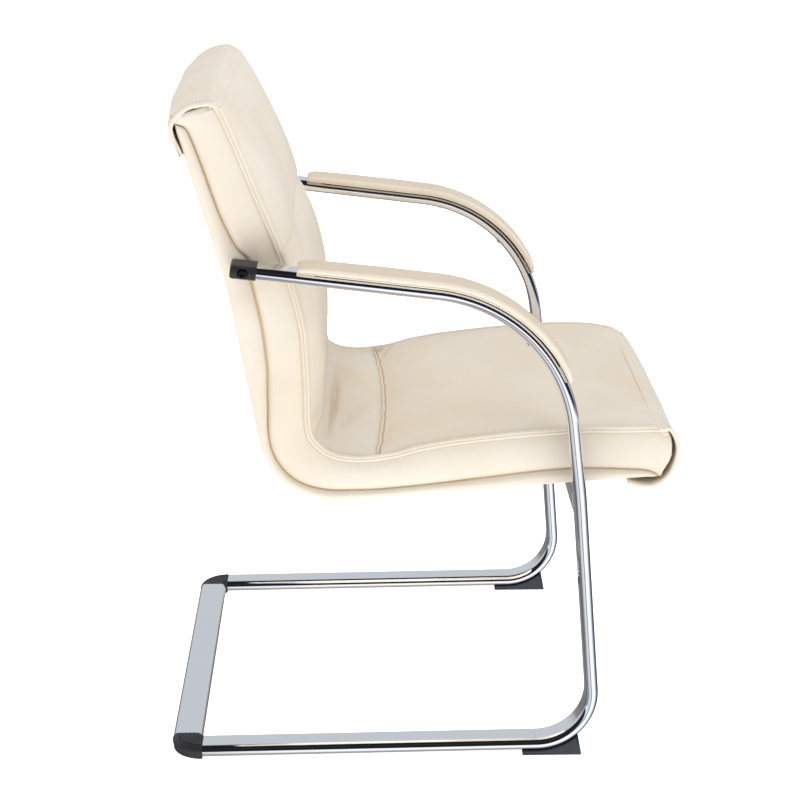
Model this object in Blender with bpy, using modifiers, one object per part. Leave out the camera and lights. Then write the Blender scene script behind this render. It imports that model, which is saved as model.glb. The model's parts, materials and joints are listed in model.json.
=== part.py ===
# Cantilever conference chair: two bent flat-oval tubes carry a padded plywood seat shell.
# Metres, +Z up, the chair faces -Y and its lowest middle point is the origin.
# Side-view points are (forward, height): forward is measured from the rear end of the floor runner.
import math

import bmesh
import bpy
from mathutils import Matrix, Vector

# Fits
TOUCH_GAP = 0.0003
CUT_OVERRUN = 0.004
SHORTEST_EDGE = 0.00002

# Flat-oval steel tube
TUBE_WIDTH = 0.040
TUBE_DEPTH = 0.016
TUBE_WALL = 0.0018
OVAL_STEPS = 5
BEND_STEP = math.radians(7)
BEND_ROOM_SHARE = 0.98

# Screw and bolt forms, shares of their own sizes
SHANK_TIP_SHARE = 0.7
HEAD_TOP_SHARE = 0.6
HEAD_SHOULDER_SHARE = 0.9
HEAD_EDGE_SHARE = 0.33
HEX_CHAMFER_SHARE = 0.8
SCREW_REACH_SHARE = 0.7

# Side frame, corners of its centre line
RUNNER_REAR_LIFT = 0.0010
RUNNER_FRONT_LIFT = 0.0075
FOOT_REACH = 0.526
FOOT_BEND_RADIUS = 0.0735
KNEE_REACH = 0.4964
KNEE_HEIGHT = 0.365
KNEE_BEND_RADIUS = 0.60
ARM_REACH = 0.4657
ARM_HEIGHT = 0.620
ARM_BEND_RADIUS = 0.1988
ARM_BEYOND_BOLT = 0.0125

# Seat shell, the line of the plywood's front face from the top of the back to the front of the seat
CREASE_FORWARD = 0.1148
CREASE_HEIGHT = 0.3622
SEAT_PITCH = math.radians(4.3)
LOWER_RAKE = math.radians(10.1)
UPPER_RAKE = math.radians(16.0)
SEAT_LENGTH = 0.500
LOWER_BACK_LENGTH = 0.289
UPPER_BACK_LENGTH = 0.225
LUMBAR_RADIUS = 0.25
CREASE_RADIUS = 0.030
CREASE_DEPTH_SHARE = 0.50
PLY_THICKNESS = 0.012
PLY_TOP_INSET = 0.026
PLY_FRONT_INSET = 0.024

# Rear cover, the padded skin that rolls round the plywood's edges
ROLL_WIDTH = 0.4964
COVER_SKIN = 0.0063
COVER_END = 0.012
LIP_WIDTH = 0.016
LIP_STEP = 0.0004
LIP_RISE = 0.0195
LIP_RISE_SHARES = ((0.0, 0.0), (0.10, 0.0), (0.16, 0.26), (0.19, 0.62), (0.207, 1.0), (0.235, 0.80),
                   (0.285, 0.82), (0.34, 0.65), (0.38, 0.25), (0.42, 0.0), (1.0, 0.0))
ROLL_END_SHARES = (0.0, 0.25, 0.85)
ROLL_BACK_SHARES = (0.45, 0.90)
ROLL_EDGE_SHARES = ((0.60, -0.88), (0.93, -0.50), (1.0, 0.0), (0.94, 0.55), (0.72, 0.95), (0.40, 1.0),
                    (0.0, 1.0))
ROLL_END_ROOM_SHARE = 0.17

# Cushions, sewn as one boxed pad with two cross seams
CUSHION_DEPTH = 0.0695
CUSHION_DEPTH_SHARES = ((0.0, 0.64), (0.11, 0.79), (0.224, 0.93), (0.309, 1.0), (0.38, 0.88), (0.443, 0.74),
                        (0.50, 0.76), (0.555, 0.72), (0.60, 0.62), (0.636, 0.63), (0.676, 0.735),
                        (0.73, 0.81), (0.835, 0.85), (0.893, 0.84), (0.94, 0.80), (1.0, 0.76))
CUSHION_CROWN = 0.0145
CROWN_SHARES = ((0.0, -1.0), (0.03, -0.05), (0.07, 0.50), (0.12, 0.78), (0.25, 0.92), (0.34, 1.0),
                (0.43, 0.75), (0.50, 0.25), (0.60, 0.22), (0.70, 0.40), (0.88, 0.30), (0.95, -0.30),
                (1.0, -1.0))
CROWN_POWER = 6
FACE_SHARES = (0.93, 0.70, 0.38, 0.12)
REAR_FACE_SHARE = 0.5
BACK_SEAM_SHARE = 0.204
SEAT_SEAM_SHARE = 0.620
SEAT_SEAM_BOW = 0.013
SEAM_BOW_REACH = 0.055
SEAM_ROUNDING = 0.014
SEAM_DROP = 0.010
SEAM_CROWN_DROP = 0.004
SEAM_END_SHARES = (0.0, 0.12, 0.45)
BOXING_INSET = 0.0030
BOXING_BULGE = 0.0022
WELT_RISE = 0.0045
WELT_HUMP = 0.0018
WELT_HUMP_POWER = 8
WELT_DRAW = 0.0035
STATION_SPACING = 0.040

# Covers that wrap over the two ends of the cushion
WRAP_SKIN = 0.0062
FLAP_DROP = 0.054
FLAP_STANDOFF = 0.0070
FRONT_WRAP_REACH = 0.0160
FRONT_WRAP_TUCK = 0.053
FRONT_WRAP_SAG = 0.0135
WRAP_CROWN = 0.008
FRONT_WRAP_CROWN = 0.004
WRAP_CROWN_POWER = 3
WRAP_ACROSS_SHARES = (-1.0, -0.97, -0.88, -0.66, -0.36, 0.0, 0.36, 0.66, 0.88, 0.97, 1.0)

# Arm joint: bolt, end cap and the steel anchor inside the upholstery
ARM_BOLT_HEIGHT = 0.6652
ARM_BOLT_STANDOFF = 0.0125
ARM_BOLT_RADIUS = 0.0039
ARM_BOLT_HEAD_RADIUS = 0.0064
ARM_BOLT_HEAD_HEIGHT = 0.0028
BOLT_CLEARANCE = 0.0004
HEX_KEY_RADIUS = 0.0029
HEX_KEY_DEPTH = 0.0020
CAP_WALL = 0.0008
CAP_OUTER_WALL = 0.0022
CAP_LENGTH = 0.0325
CAP_END_WALL = 0.0030
CAP_END_SHARES = ((0.0, 0.74), (0.12, 0.88), (0.36, 0.97), (1.0, 1.0))
CAP_END_ROUNDING = 0.0045
ANCHOR_THICKNESS = 0.003
ANCHOR_LENGTH = 0.034
ANCHOR_REACH = 0.050
ANCHOR_RISE = 0.021
ANCHOR_NUT_RADIUS = 0.0072
ANCHOR_NUT_HEIGHT = 0.006

# Arm pads
PAD_START = 0.0785
PAD_LENGTH = 0.382
PAD_WIDTH = 0.049
PAD_HEIGHT = 0.0112
PAD_HEIGHT_SHARES = ((0.0, 0.50), (0.03, 0.72), (0.09, 0.86), (0.35, 1.0), (0.6, 0.98), (0.85, 0.86),
                     (0.96, 0.66), (1.0, 0.45))
PAD_WIDTH_SHARES = ((0.0, 0.78), (0.03, 0.92), (0.09, 1.0), (0.90, 1.0), (0.97, 0.92), (1.0, 0.76))
PAD_OUTLINE_SHARES = ((0.94, 0.0), (1.0, 0.14), (0.99, 0.42), (0.88, 0.72), (0.60, 0.92), (0.22, 1.0))
PAD_LEAST_STATION = 0.0028
PAD_BASE_WIDTH = 0.036
PAD_BASE_THICKNESS = 0.0045
PAD_BASE_INSET = 0.022
PAD_SCREW_SHARES = (0.125, 0.525, 0.83)
PAD_SCREW_RADIUS = 0.0019
PAD_SCREW_HEAD_RADIUS = 0.0042
PAD_SCREW_HEAD_HEIGHT = 0.0022

# Crossbar, plates and bolts under the seat
PLATE_THICKNESS = 0.003
PLATE_WIDTH = 0.045
PLATE_LENGTH = 0.170
PLATE_OVERHANG = 0.018
PLATE_SPREAD = 0.290
PLATE_BOLT_SHARES = (0.27, 0.82)
SEAT_BOLT_RADIUS = 0.0030
SEAT_BOLT_HEAD_RADIUS = 0.0056
SEAT_BOLT_HEAD_HEIGHT = 0.0040
INSERT_FLANGE_RADIUS = 0.0090
INSERT_FLANGE_THICKNESS = 0.0014
INSERT_BARREL_RADIUS = 0.0044
INSERT_BARREL_LENGTH = 0.0085

# Floor fittings
ELBOW_RADIUS = 0.0020
ELBOW_PROUD = 0.0006
ELBOW_STEPS = 8
ELBOW_RIBS = 5
ELBOW_GROOVE_DEPTH = 0.0009
ELBOW_GROOVE_SHARE = 0.5
ELBOW_FOOT_INSET = 0.0012
PLUG_LENGTH = 0.022
GLIDE_WIDTH = 0.039
GLIDE_REAR = 0.4285
GLIDE_FRONT = 0.5075
GLIDE_TOP_SHARE = 0.47
GLIDE_SCREW_SHARE = 0.30
GLIDE_SCREW_RADIUS = 0.0018
GLIDE_SCREW_HEAD_RADIUS = 0.0036
GLIDE_SCREW_HEAD_HEIGHT = 0.0018
GLIDE_SCREW_RECESS = 0.0022
GLIDE_SCREW_LENGTH = 0.012

# Facets of round pieces
ROUND_STEPS = 10
FINE_STEPS = 8
BOLT_STEPS = 12
RECESS_STEPS = 16
HEX_SIDES = 6
SMOOTH_ANGLE = math.radians(35)

UP = Vector((0.0, 0.0, 1.0))
SIDES = (("right", -1), ("left", 1))
SIDE_VIEW = Matrix(((0, 0, -1), (-1, 0, 0), (0, 1, 0)))


# Side-view geometry

def along_pairs(pairs, value, eased=True):
    """Read a table of (share, value) pairs at a share, with eased or straight steps between its rows."""
    for (low, first), (high, second) in zip(pairs, pairs[1:]):
        if value <= high:
            part = (value - low) / (high - low)
            if eased:
                part = part * part * (3 - 2 * part)
            return first + (second - first) * part
    return pairs[-1][1]


def bent_path(corners, radii, step=BEND_STEP):
    """Straight runs joined by arcs, one radius for each inner corner, limited by the runs."""
    corners = [Vector(corner) for corner in corners]
    runs = [(after - before).length for before, after in zip(corners, corners[1:])]
    turns = []
    for before, corner, after in zip(corners, corners[1:], corners[2:]):
        turns.append((corner - before).angle_signed(after - corner))
    reaches = [radius * math.tan(abs(turn) / 2) for radius, turn in zip(radii, turns)]
    padded = [0.0] + reaches + [0.0]
    for index, run in enumerate(runs):
        used = padded[index] + padded[index + 1]
        limit = run * BEND_ROOM_SHARE
        if used > limit:
            padded[index] *= limit / used
            padded[index + 1] *= limit / used
    path = [corners[0]]
    for index, turn in enumerate(turns):
        corner = corners[index + 1]
        reach = padded[index + 1]
        inward = (corner - corners[index]).normalized()
        radius = reach / math.tan(abs(turn) / 2)
        start = corner - inward * reach
        side = 1 if turn < 0 else -1
        centre = start + Vector((-inward.y, inward.x)) * radius * side
        count = max(2, round(abs(turn) / step))
        for number in range(count + 1):
            spin = Matrix.Rotation(-turn * number / count, 2)
            path.append(centre + spin @ (start - centre))
    path.append(corners[-1])
    return path


def distances(path):
    """Distance of each point of a path from its start."""
    total = [0.0]
    for before, after in zip(path, path[1:]):
        total.append(total[-1] + (after - before).length)
    return total


def left_of(direction):
    """Unit normal to the left of a direction of travel."""
    return Vector((-direction.y, direction.x)).normalized()


def beside(path, distance, offset):
    """Point at a distance along a path, moved to the left of travel by an offset."""
    marks = distances(path)
    for index, mark in enumerate(marks[1:-1], start=1):
        if abs(mark - distance) < SHORTEST_EDGE:
            before = left_of(path[index] - path[index - 1])
            after = left_of(path[index + 1] - path[index])
            normal = (before + after).normalized()
            return path[index] + normal * (offset / normal.dot(before))
    index = 1
    while index < len(marks) - 1 and marks[index] < distance:
        index += 1
    direction = (path[index] - path[index - 1]).normalized()
    point = path[index - 1] + direction * (distance - marks[index - 1])
    return point + left_of(direction) * offset


def stations(path, start, end, spacing, marks=()):
    """Distances from start to end with every bend point and mark, never further apart than spacing."""
    low = start + SHORTEST_EDGE
    high = end - SHORTEST_EDGE
    inside = [mark for mark in distances(path) + list(marks) if low < mark < high]
    stops = [start] + sorted(inside) + [end]
    result = []
    for before, after in zip(stops, stops[1:]):
        count = max(1, math.ceil((after - before) / spacing))
        result += [before + (after - before) * number / count for number in range(count)]
    return result + [end]


def distance_at_height(path, height):
    """Distance along a falling path at which it passes a height."""
    marks = distances(path)
    for index in range(1, len(path)):
        if path[index].y <= height <= path[index - 1].y:
            part = (path[index - 1].y - height) / (path[index - 1].y - path[index].y)
            return marks[index - 1] + (marks[index] - marks[index - 1]) * part
    return marks[-1]


def crossing(point, direction, other, other_direction):
    """Point where two side-view lines meet."""
    denominator = direction.x * other_direction.y - direction.y * other_direction.x
    gap = other - point
    return point + direction * ((gap.x * other_direction.y - gap.y * other_direction.x) / denominator)


def solid_point(side_point, across):
    """Turn a side-view point into a point of the chair at a distance across."""
    return Vector((across, -side_point.x, side_point.y))


# Shell line and frame line

def shell_line():
    """Front face of the plywood, from the top end of the cushion to its front end."""
    crease = Vector((CREASE_FORWARD, CREASE_HEIGHT))
    knee = crease + Vector((-math.sin(LOWER_RAKE), math.cos(LOWER_RAKE))) * LOWER_BACK_LENGTH
    top = knee + Vector((-math.sin(UPPER_RAKE), math.cos(UPPER_RAKE))) * UPPER_BACK_LENGTH
    front = crease + Vector((math.cos(SEAT_PITCH), math.sin(SEAT_PITCH))) * SEAT_LENGTH
    crease_depth = CUSHION_DEPTH * along_pairs(CUSHION_DEPTH_SHARES, CREASE_DEPTH_SHARE)
    return bent_path((top, knee, crease, front), (LUMBAR_RADIUS, CREASE_RADIUS + crease_depth))


SHELL = shell_line()
SHELL_LENGTH = distances(SHELL)[-1]
COVER_OUTSIDE = PLY_THICKNESS + TOUCH_GAP + COVER_SKIN
ROLL_HALF = ROLL_WIDTH / 2
FRAME_HALF = ROLL_HALF + TOUCH_GAP + CAP_WALL + TOUCH_GAP + TUBE_WIDTH / 2
FRAME_INSIDE = FRAME_HALF - TUBE_WIDTH / 2
PLY_HALF = ROLL_HALF - LIP_WIDTH - TOUCH_GAP
PLY_START = PLY_TOP_INSET
PLY_END = SHELL_LENGTH - PLY_FRONT_INSET

ARM_BOLT_ALONG = distance_at_height(SHELL, ARM_BOLT_HEIGHT)
ARM_BOLT = beside(SHELL, ARM_BOLT_ALONG, ARM_BOLT_STANDOFF)
ARM_CORNER = Vector((ARM_REACH, ARM_HEIGHT))
ARM_LINE = (ARM_CORNER - ARM_BOLT).normalized()
ARM_REAR = ARM_BOLT - ARM_LINE * ARM_BEYOND_BOLT
KNEE = Vector((KNEE_REACH, KNEE_HEIGHT))
FOOT_CORNER = Vector((FOOT_REACH, RUNNER_FRONT_LIFT + TUBE_DEPTH / 2))
RUNNER_REAR = Vector((TOUCH_GAP, RUNNER_REAR_LIFT + TUBE_DEPTH / 2))
FRAME = bent_path((ARM_REAR, ARM_CORNER, KNEE, FOOT_CORNER, RUNNER_REAR),
                  (ARM_BEND_RADIUS, KNEE_BEND_RADIUS, FOOT_BEND_RADIUS))
RUNNER_LINE = (FOOT_CORNER - RUNNER_REAR).normalized()
UPRIGHT_LINE = (KNEE - FOOT_CORNER).normalized()
SEAT_LINE = Vector((math.cos(SEAT_PITCH), math.sin(SEAT_PITCH)))


# Blender objects

def make_material(name, color, roughness, metallic=0.0):
    material = bpy.data.materials.new(name)
    material.use_nodes = True
    shader = material.node_tree.nodes["Principled BSDF"]
    shader.inputs["Base Color"].default_value = (*color, 1.0)
    shader.inputs["Roughness"].default_value = roughness
    shader.inputs["Metallic"].default_value = metallic
    return material


def add_object(name, data, material=None, guide=False):
    """Put new data in the chair's collection, or in the guides' one, under the chair's empty."""
    target = bpy.data.objects.new(name, data)
    home = GUIDES if guide else PARTS
    home.objects.link(target)
    target.parent = CHAIR
    if guide:
        target.hide_render = True
        target.display_type = "WIRE"
    else:
        data.materials.append(material)
    return target


def mesh_object(name, shape, material=None, guide=False, smooth=True):
    """Make an object from a bmesh, its faces pointing out."""
    bmesh.ops.recalc_face_normals(shape, faces=shape.faces)
    mesh = bpy.data.meshes.new(name)
    shape.to_mesh(mesh)
    shape.free()
    if smooth:
        mesh.shade_smooth()
        mesh.set_sharp_from_angle(angle=SMOOTH_ANGLE)
    return add_object(name, mesh, material, guide)


def bridge(shape, row, after):
    """Band of faces between two closed rows of vertices."""
    for index in range(len(row)):
        follow = (index + 1) % len(row)
        shape.faces.new((row[index], row[follow], after[follow], after[index]))


def loft(name, rings, material=None, guide=False, hubs=None):
    """Closed solid through rings of points; an end with a hub is a fan of faces round it."""
    shape = bmesh.new()
    rows = [[shape.verts.new(point) for point in ring] for ring in rings]
    for row, after in zip(rows, rows[1:]):
        bridge(shape, row, after)
    for row, hub in zip((rows[0], rows[-1]), hubs or (None, None)):
        if hub is None:
            shape.faces.new(row)
            continue
        centre = shape.verts.new(hub)
        for index, vertex in enumerate(row):
            shape.faces.new((vertex, row[(index + 1) % len(row)], centre))
    return mesh_object(name, shape, material, guide)


def mirrored_outline(half):
    """Whole outline from its half at positive x, which runs from the middle out and back."""
    return half + [(-x, y) for x, y in reversed(half)]


def side_ring(path, distance, outline):
    """Ring across a path: outline points are (across, offset to the left of travel)."""
    return [solid_point(beside(path, distance, offset), across) for across, offset in outline]


def as_mesh(target):
    """Replace a curve object by the mesh it evaluates to, with its loose caps welded."""
    bpy.context.view_layer.update()
    graph = bpy.context.evaluated_depsgraph_get()
    mesh = bpy.data.meshes.new_from_object(target.evaluated_get(graph))
    name = target.name
    place = target.matrix_world.copy()
    curve = target.data
    bpy.data.objects.remove(target)
    bpy.data.curves.remove(curve)
    shape = bmesh.new()
    shape.from_mesh(mesh)
    bmesh.ops.remove_doubles(shape, verts=shape.verts, dist=SHORTEST_EDGE)
    shape.to_mesh(mesh)
    shape.free()
    mesh.name = name
    result = bpy.data.objects.new(name, mesh)
    PARTS.objects.link(result)
    result.parent = CHAIR
    result.matrix_world = place
    return result


def flat_curve(name, points, cyclic):
    """2D curve of straight pieces."""
    curve = bpy.data.curves.new(name, "CURVE")
    curve.dimensions = "2D"
    spline = curve.splines.new("POLY")
    spline.points.add(len(points) - 1)
    for target, point in zip(spline.points, points):
        target.co = (point[0], point[1], 0.0, 1.0)
    spline.use_cyclic_u = cyclic
    return curve


def flat_oval(width, depth):
    """Flat-oval outline, its depth along the first axis, clockwise."""
    radius = depth / 2
    straight = width / 2 - radius
    points = []
    for end in (1, -1):
        for step in range(OVAL_STEPS + 1):
            angle = math.pi * step / OVAL_STEPS
            points.append((-end * radius * math.cos(angle), end * (straight + radius * math.sin(angle))))
    return points


def oval_tube(name, points, place, material):
    """Open flat-oval tube along points of its own plane."""
    curve = flat_curve(name, points, False)
    curve.fill_mode = "NONE"
    curve.bevel_mode = "OBJECT"
    curve.bevel_object = OVAL
    tube = add_object(name, curve, material)
    tube.matrix_local = place
    wall = tube.modifiers.new("wall", "SOLIDIFY")
    wall.thickness = TUBE_WALL
    wall.offset = -1.0
    wall.use_even_offset = True
    return as_mesh(tube)


def side_place(across):
    """Place of a side-view curve at a distance across."""
    return Matrix.Translation((across, 0.0, 0.0)) @ SIDE_VIEW.to_4x4()


def aim(start, end):
    """Placement with its Z axis running from start to end and its origin at start."""
    turn = (end - start).to_track_quat("Z", "Y").to_matrix().to_4x4()
    return Matrix.Translation(start) @ turn


def turned(name, profile, place, material=None, guide=False, steps=ROUND_STEPS):
    """Round piece from a (radius, height) profile down its outer side, closed by an edge if it has a bore."""
    edges = [(index, index + 1) for index in range(len(profile) - 1)]
    if profile[0][0] > 0.0:
        edges.append((len(profile) - 1, 0))
    mesh = bpy.data.meshes.new(name)
    mesh.from_pydata([(radius, 0.0, height) for radius, height in profile], edges, [])
    target = add_object(name, mesh, material, guide)
    target.matrix_local = place
    spin = target.modifiers.new("turn", "SCREW")
    spin.axis = "Z"
    spin.steps = steps
    spin.render_steps = steps
    spin.use_merge_vertices = True
    spin.merge_threshold = SHORTEST_EDGE
    return target


def rod_cutter(name, start, end, radius, steps=ROUND_STEPS):
    """Round cutter between two points."""
    length = (end - start).length
    profile = ((0.0, length), (radius, length), (radius, 0.0), (0.0, 0.0))
    return turned(name, profile, aim(start, end), guide=True, steps=steps)


def prism(name, radius, height, place, guide=False, material=None):
    """Hexagonal prism that stands on its placement's origin."""
    shape = bmesh.new()
    bmesh.ops.create_cone(shape, cap_ends=True, segments=HEX_SIDES, radius1=radius, radius2=radius,
                          depth=height)
    bmesh.ops.translate(shape, verts=shape.verts, vec=(0.0, 0.0, height / 2))
    target = mesh_object(name, shape, material, guide, smooth=False)
    target.matrix_local = place
    return target


def box(name, size, place, material=None, guide=False):
    """Box centred on its placement's origin."""
    shape = bmesh.new()
    bmesh.ops.create_cube(shape, size=1.0)
    bmesh.ops.scale(shape, verts=shape.verts, vec=size)
    target = mesh_object(name, shape, material, guide, smooth=False)
    target.matrix_local = place
    return target


def cut(target, cutter, operation="DIFFERENCE"):
    """Cut or join with a Boolean modifier."""
    modifier = target.modifiers.new(cutter.name, "BOOLEAN")
    modifier.operation = operation
    modifier.object = cutter
    return target


def mirror_copy(target, name):
    """Mirror image of a finished object on the chair's other side."""
    bpy.context.view_layer.update()
    graph = bpy.context.evaluated_depsgraph_get()
    mesh = bpy.data.meshes.new_from_object(target.evaluated_get(graph))
    mesh.transform(CHAIR.matrix_world.inverted() @ target.matrix_world)
    mesh.transform(Matrix.Scale(-1.0, 4, Vector((1.0, 0.0, 0.0))))
    mesh.flip_normals()
    mesh.name = name
    copy = bpy.data.objects.new(name, mesh)
    PARTS.objects.link(copy)
    copy.parent = CHAIR
    return copy


def both_sides(kind, make):
    """Make the left piece and its mirror image on the right."""
    left = make(kind + "_left")
    right = mirror_copy(left, kind + "_right")
    return left, right


# Frame

def side_frame(name):
    """Arm, upright and runner bent from one tube, with its bolt and screw holes."""
    points = [(point.x, point.y) for point in FRAME]
    tube = oval_tube(name, points, side_place(FRAME_HALF), CHROME)
    bolt_start = solid_point(ARM_BOLT, FRAME_INSIDE - CUT_OVERRUN)
    bolt_end = solid_point(ARM_BOLT, FRAME_HALF + TUBE_WIDTH / 2 + CUT_OVERRUN)
    cut(tube, rod_cutter("arm_bolt_hole", bolt_start, bolt_end, ARM_BOLT_RADIUS + BOLT_CLEARANCE))
    for number, along in enumerate(pad_screw_distances(), start=1):
        low = solid_point(beside(FRAME, along, -TUBE_DEPTH), FRAME_HALF)
        high = solid_point(beside(FRAME, along, TUBE_DEPTH), FRAME_HALF)
        radius = PAD_SCREW_RADIUS + BOLT_CLEARANCE
        cut(tube, rod_cutter("pad_screw_hole_%d" % number, low, high, radius, steps=FINE_STEPS))
    head, tip = glide_screw_line()
    radius = GLIDE_SCREW_RADIUS + BOLT_CLEARANCE
    cut(tube, rod_cutter("glide_screw_hole", head, tip, radius, steps=FINE_STEPS))
    return tube


def elbow_centre():
    """Side-view point that the rear corner elbow turns about."""
    return Vector((0.0, RUNNER_REAR_LIFT + TUBE_DEPTH / 2))


def elbow_outline():
    """Section of the elbow, out from its centre: flat-oval and ribbed on top, a flat skirt below."""
    width = TUBE_WIDTH + ELBOW_PROUD * 2
    depth = TUBE_DEPTH + ELBOW_PROUD * 2
    middle = ELBOW_RADIUS + TUBE_WIDTH / 2
    upper = [(middle + y, -x) for x, y in flat_oval(width, depth) if x < 0]
    foot = width / 2 - ELBOW_FOOT_INSET
    ground = -elbow_centre().y
    half = len(upper) // 2
    outline = upper[:half] + [(middle + foot, ground), (middle - foot, ground)] + upper[half:]
    flat = width - depth
    pitch = flat / ELBOW_RIBS
    groove = pitch * ELBOW_GROOVE_SHARE / 2
    for number in range(ELBOW_RIBS):
        centre = middle - flat / 2 + pitch * (number + 0.5)
        outline.append((centre - groove, depth / 2))
        outline.append((centre, depth / 2 - ELBOW_GROOVE_DEPTH))
        outline.append((centre + groove, depth / 2))
    return outline


def spun(name, outline, material=None, guide=False):
    """Quarter turn of an (out, up) outline about the Z axis, from +X to +Y."""
    rings = []
    for step in range(ELBOW_STEPS + 1):
        angle = math.pi / 2 * step / ELBOW_STEPS
        rings.append([(out * math.cos(angle), out * math.sin(angle), up) for out, up in outline])
    return loft(name, rings, material, guide)


def plug(name, direction, place):
    """Tongue of an elbow that fills a tube's end."""
    width = TUBE_WIDTH - (TUBE_WALL + TOUCH_GAP) * 2
    depth = TUBE_DEPTH - (TUBE_WALL + TOUCH_GAP) * 2
    across = direction.cross(UP).normalized()
    rise = across.cross(direction).normalized()
    rings = []
    for distance in (-CUT_OVERRUN, PLUG_LENGTH):
        centre = place + direction * distance
        rings.append([centre + across * y + rise * x for x, y in flat_oval(width, depth)])
    return loft(name, rings, guide=True)


def corner_cap(name):
    """Ribbed plastic elbow between runner and rear crossbar, with two tongues and a flat foot."""
    centre = solid_point(elbow_centre(), FRAME_INSIDE - ELBOW_RADIUS)
    elbow = spun(name, elbow_outline(), BLACK_PLASTIC)
    elbow.matrix_local = Matrix.Translation(centre)
    middle = ELBOW_RADIUS + TUBE_WIDTH / 2
    runner = Vector((0.0, -RUNNER_LINE.x, RUNNER_LINE.y))
    inward = Vector((-1.0, 0.0, 0.0))
    cut(elbow, plug("runner_plug", runner, centre + Vector((middle, 0.0, 0.0))), "UNION")
    return cut(elbow, plug("crossbar_plug", inward, centre + Vector((0.0, middle, 0.0))), "UNION")


def rear_crossbar():
    """Flat-oval tube on the floor between the two elbows."""
    half = FRAME_INSIDE - ELBOW_RADIUS - TOUCH_GAP
    centre = elbow_centre() - Vector((ELBOW_RADIUS + TUBE_WIDTH / 2, 0.0))
    turn = Matrix(((1, 0, 0), (0, 0, -1), (0, 1, 0))).to_4x4()
    place = Matrix.Translation(solid_point(centre, 0.0)) @ turn
    return oval_tube("rear_crossbar", [(-half, 0.0), (half, 0.0)], place, CHROME)


def frame_distance(forward):
    """Distance along the frame line of the runner's point at a forward place."""
    marks = distances(FRAME)
    for index in range(len(FRAME) - 1, 0, -1):
        before, after = FRAME[index - 1], FRAME[index]
        if after.x <= forward <= before.x:
            part = (before.x - forward) / (before.x - after.x)
            return marks[index - 1] + (marks[index] - marks[index - 1]) * part
    return marks[-1]


def glide_line():
    """Side-view points of the tube's underside over the glide, front to rear."""
    offset = TUBE_DEPTH / 2 + TOUCH_GAP
    bend_end = distances(FRAME)[-2]
    arc = FOOT_BEND_RADIUS * math.pi / 2
    start = bend_end - arc * GLIDE_TOP_SHARE
    stops = stations(FRAME, start, frame_distance(GLIDE_REAR), arc)
    return [beside(FRAME, distance, offset) for distance in stops]


def glide_screw_line():
    """Ends of the glide's screw: under its head and its tip inside the tube."""
    forward = GLIDE_REAR + (GLIDE_FRONT - GLIDE_REAR) * GLIDE_SCREW_SHARE
    under = solid_point(Vector((forward, GLIDE_SCREW_RECESS)), FRAME_HALF)
    return under, under + UP * GLIDE_SCREW_LENGTH


def glide(name):
    """Rubber wedge under the front bend, hollowed for its screw."""
    top = glide_line()
    outline = [Vector((GLIDE_FRONT, 0.0))] + top + [Vector((GLIDE_REAR, 0.0))]
    curve = flat_curve(name, [(point.x, point.y) for point in outline], True)
    curve.fill_mode = "BOTH"
    curve.extrude = GLIDE_WIDTH / 2
    wedge = add_object(name, curve, RUBBER)
    wedge.matrix_local = side_place(FRAME_HALF)
    wedge = as_mesh(wedge)
    head, tip = glide_screw_line()
    seat = head + UP * (GLIDE_SCREW_HEAD_HEIGHT + TOUCH_GAP)
    below = head - UP * GLIDE_WIDTH
    cut(wedge, rod_cutter("glide_recess", below, seat, GLIDE_SCREW_HEAD_RADIUS + BOLT_CLEARANCE))
    radius = GLIDE_SCREW_RADIUS + BOLT_CLEARANCE
    return cut(wedge, rod_cutter("glide_hole", head, tip, radius, steps=FINE_STEPS))


def glide_screw(name):
    """Pan-head screw up through the glide into the tube, its head in the recess."""
    head, tip = glide_screw_line()
    profile = ((0.0, GLIDE_SCREW_LENGTH - BOLT_CLEARANCE),
               (GLIDE_SCREW_RADIUS, GLIDE_SCREW_LENGTH - GLIDE_SCREW_RADIUS),
               (GLIDE_SCREW_RADIUS, GLIDE_SCREW_HEAD_HEIGHT),
               (GLIDE_SCREW_HEAD_RADIUS, GLIDE_SCREW_HEAD_HEIGHT),
               (GLIDE_SCREW_HEAD_RADIUS, GLIDE_SCREW_HEAD_HEIGHT * HEAD_EDGE_SHARE),
               (GLIDE_SCREW_HEAD_RADIUS * HEAD_TOP_SHARE, 0.0), (0.0, 0.0))
    return turned(name, profile, aim(head, tip), STEEL, steps=FINE_STEPS)


# Arm joint

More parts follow.
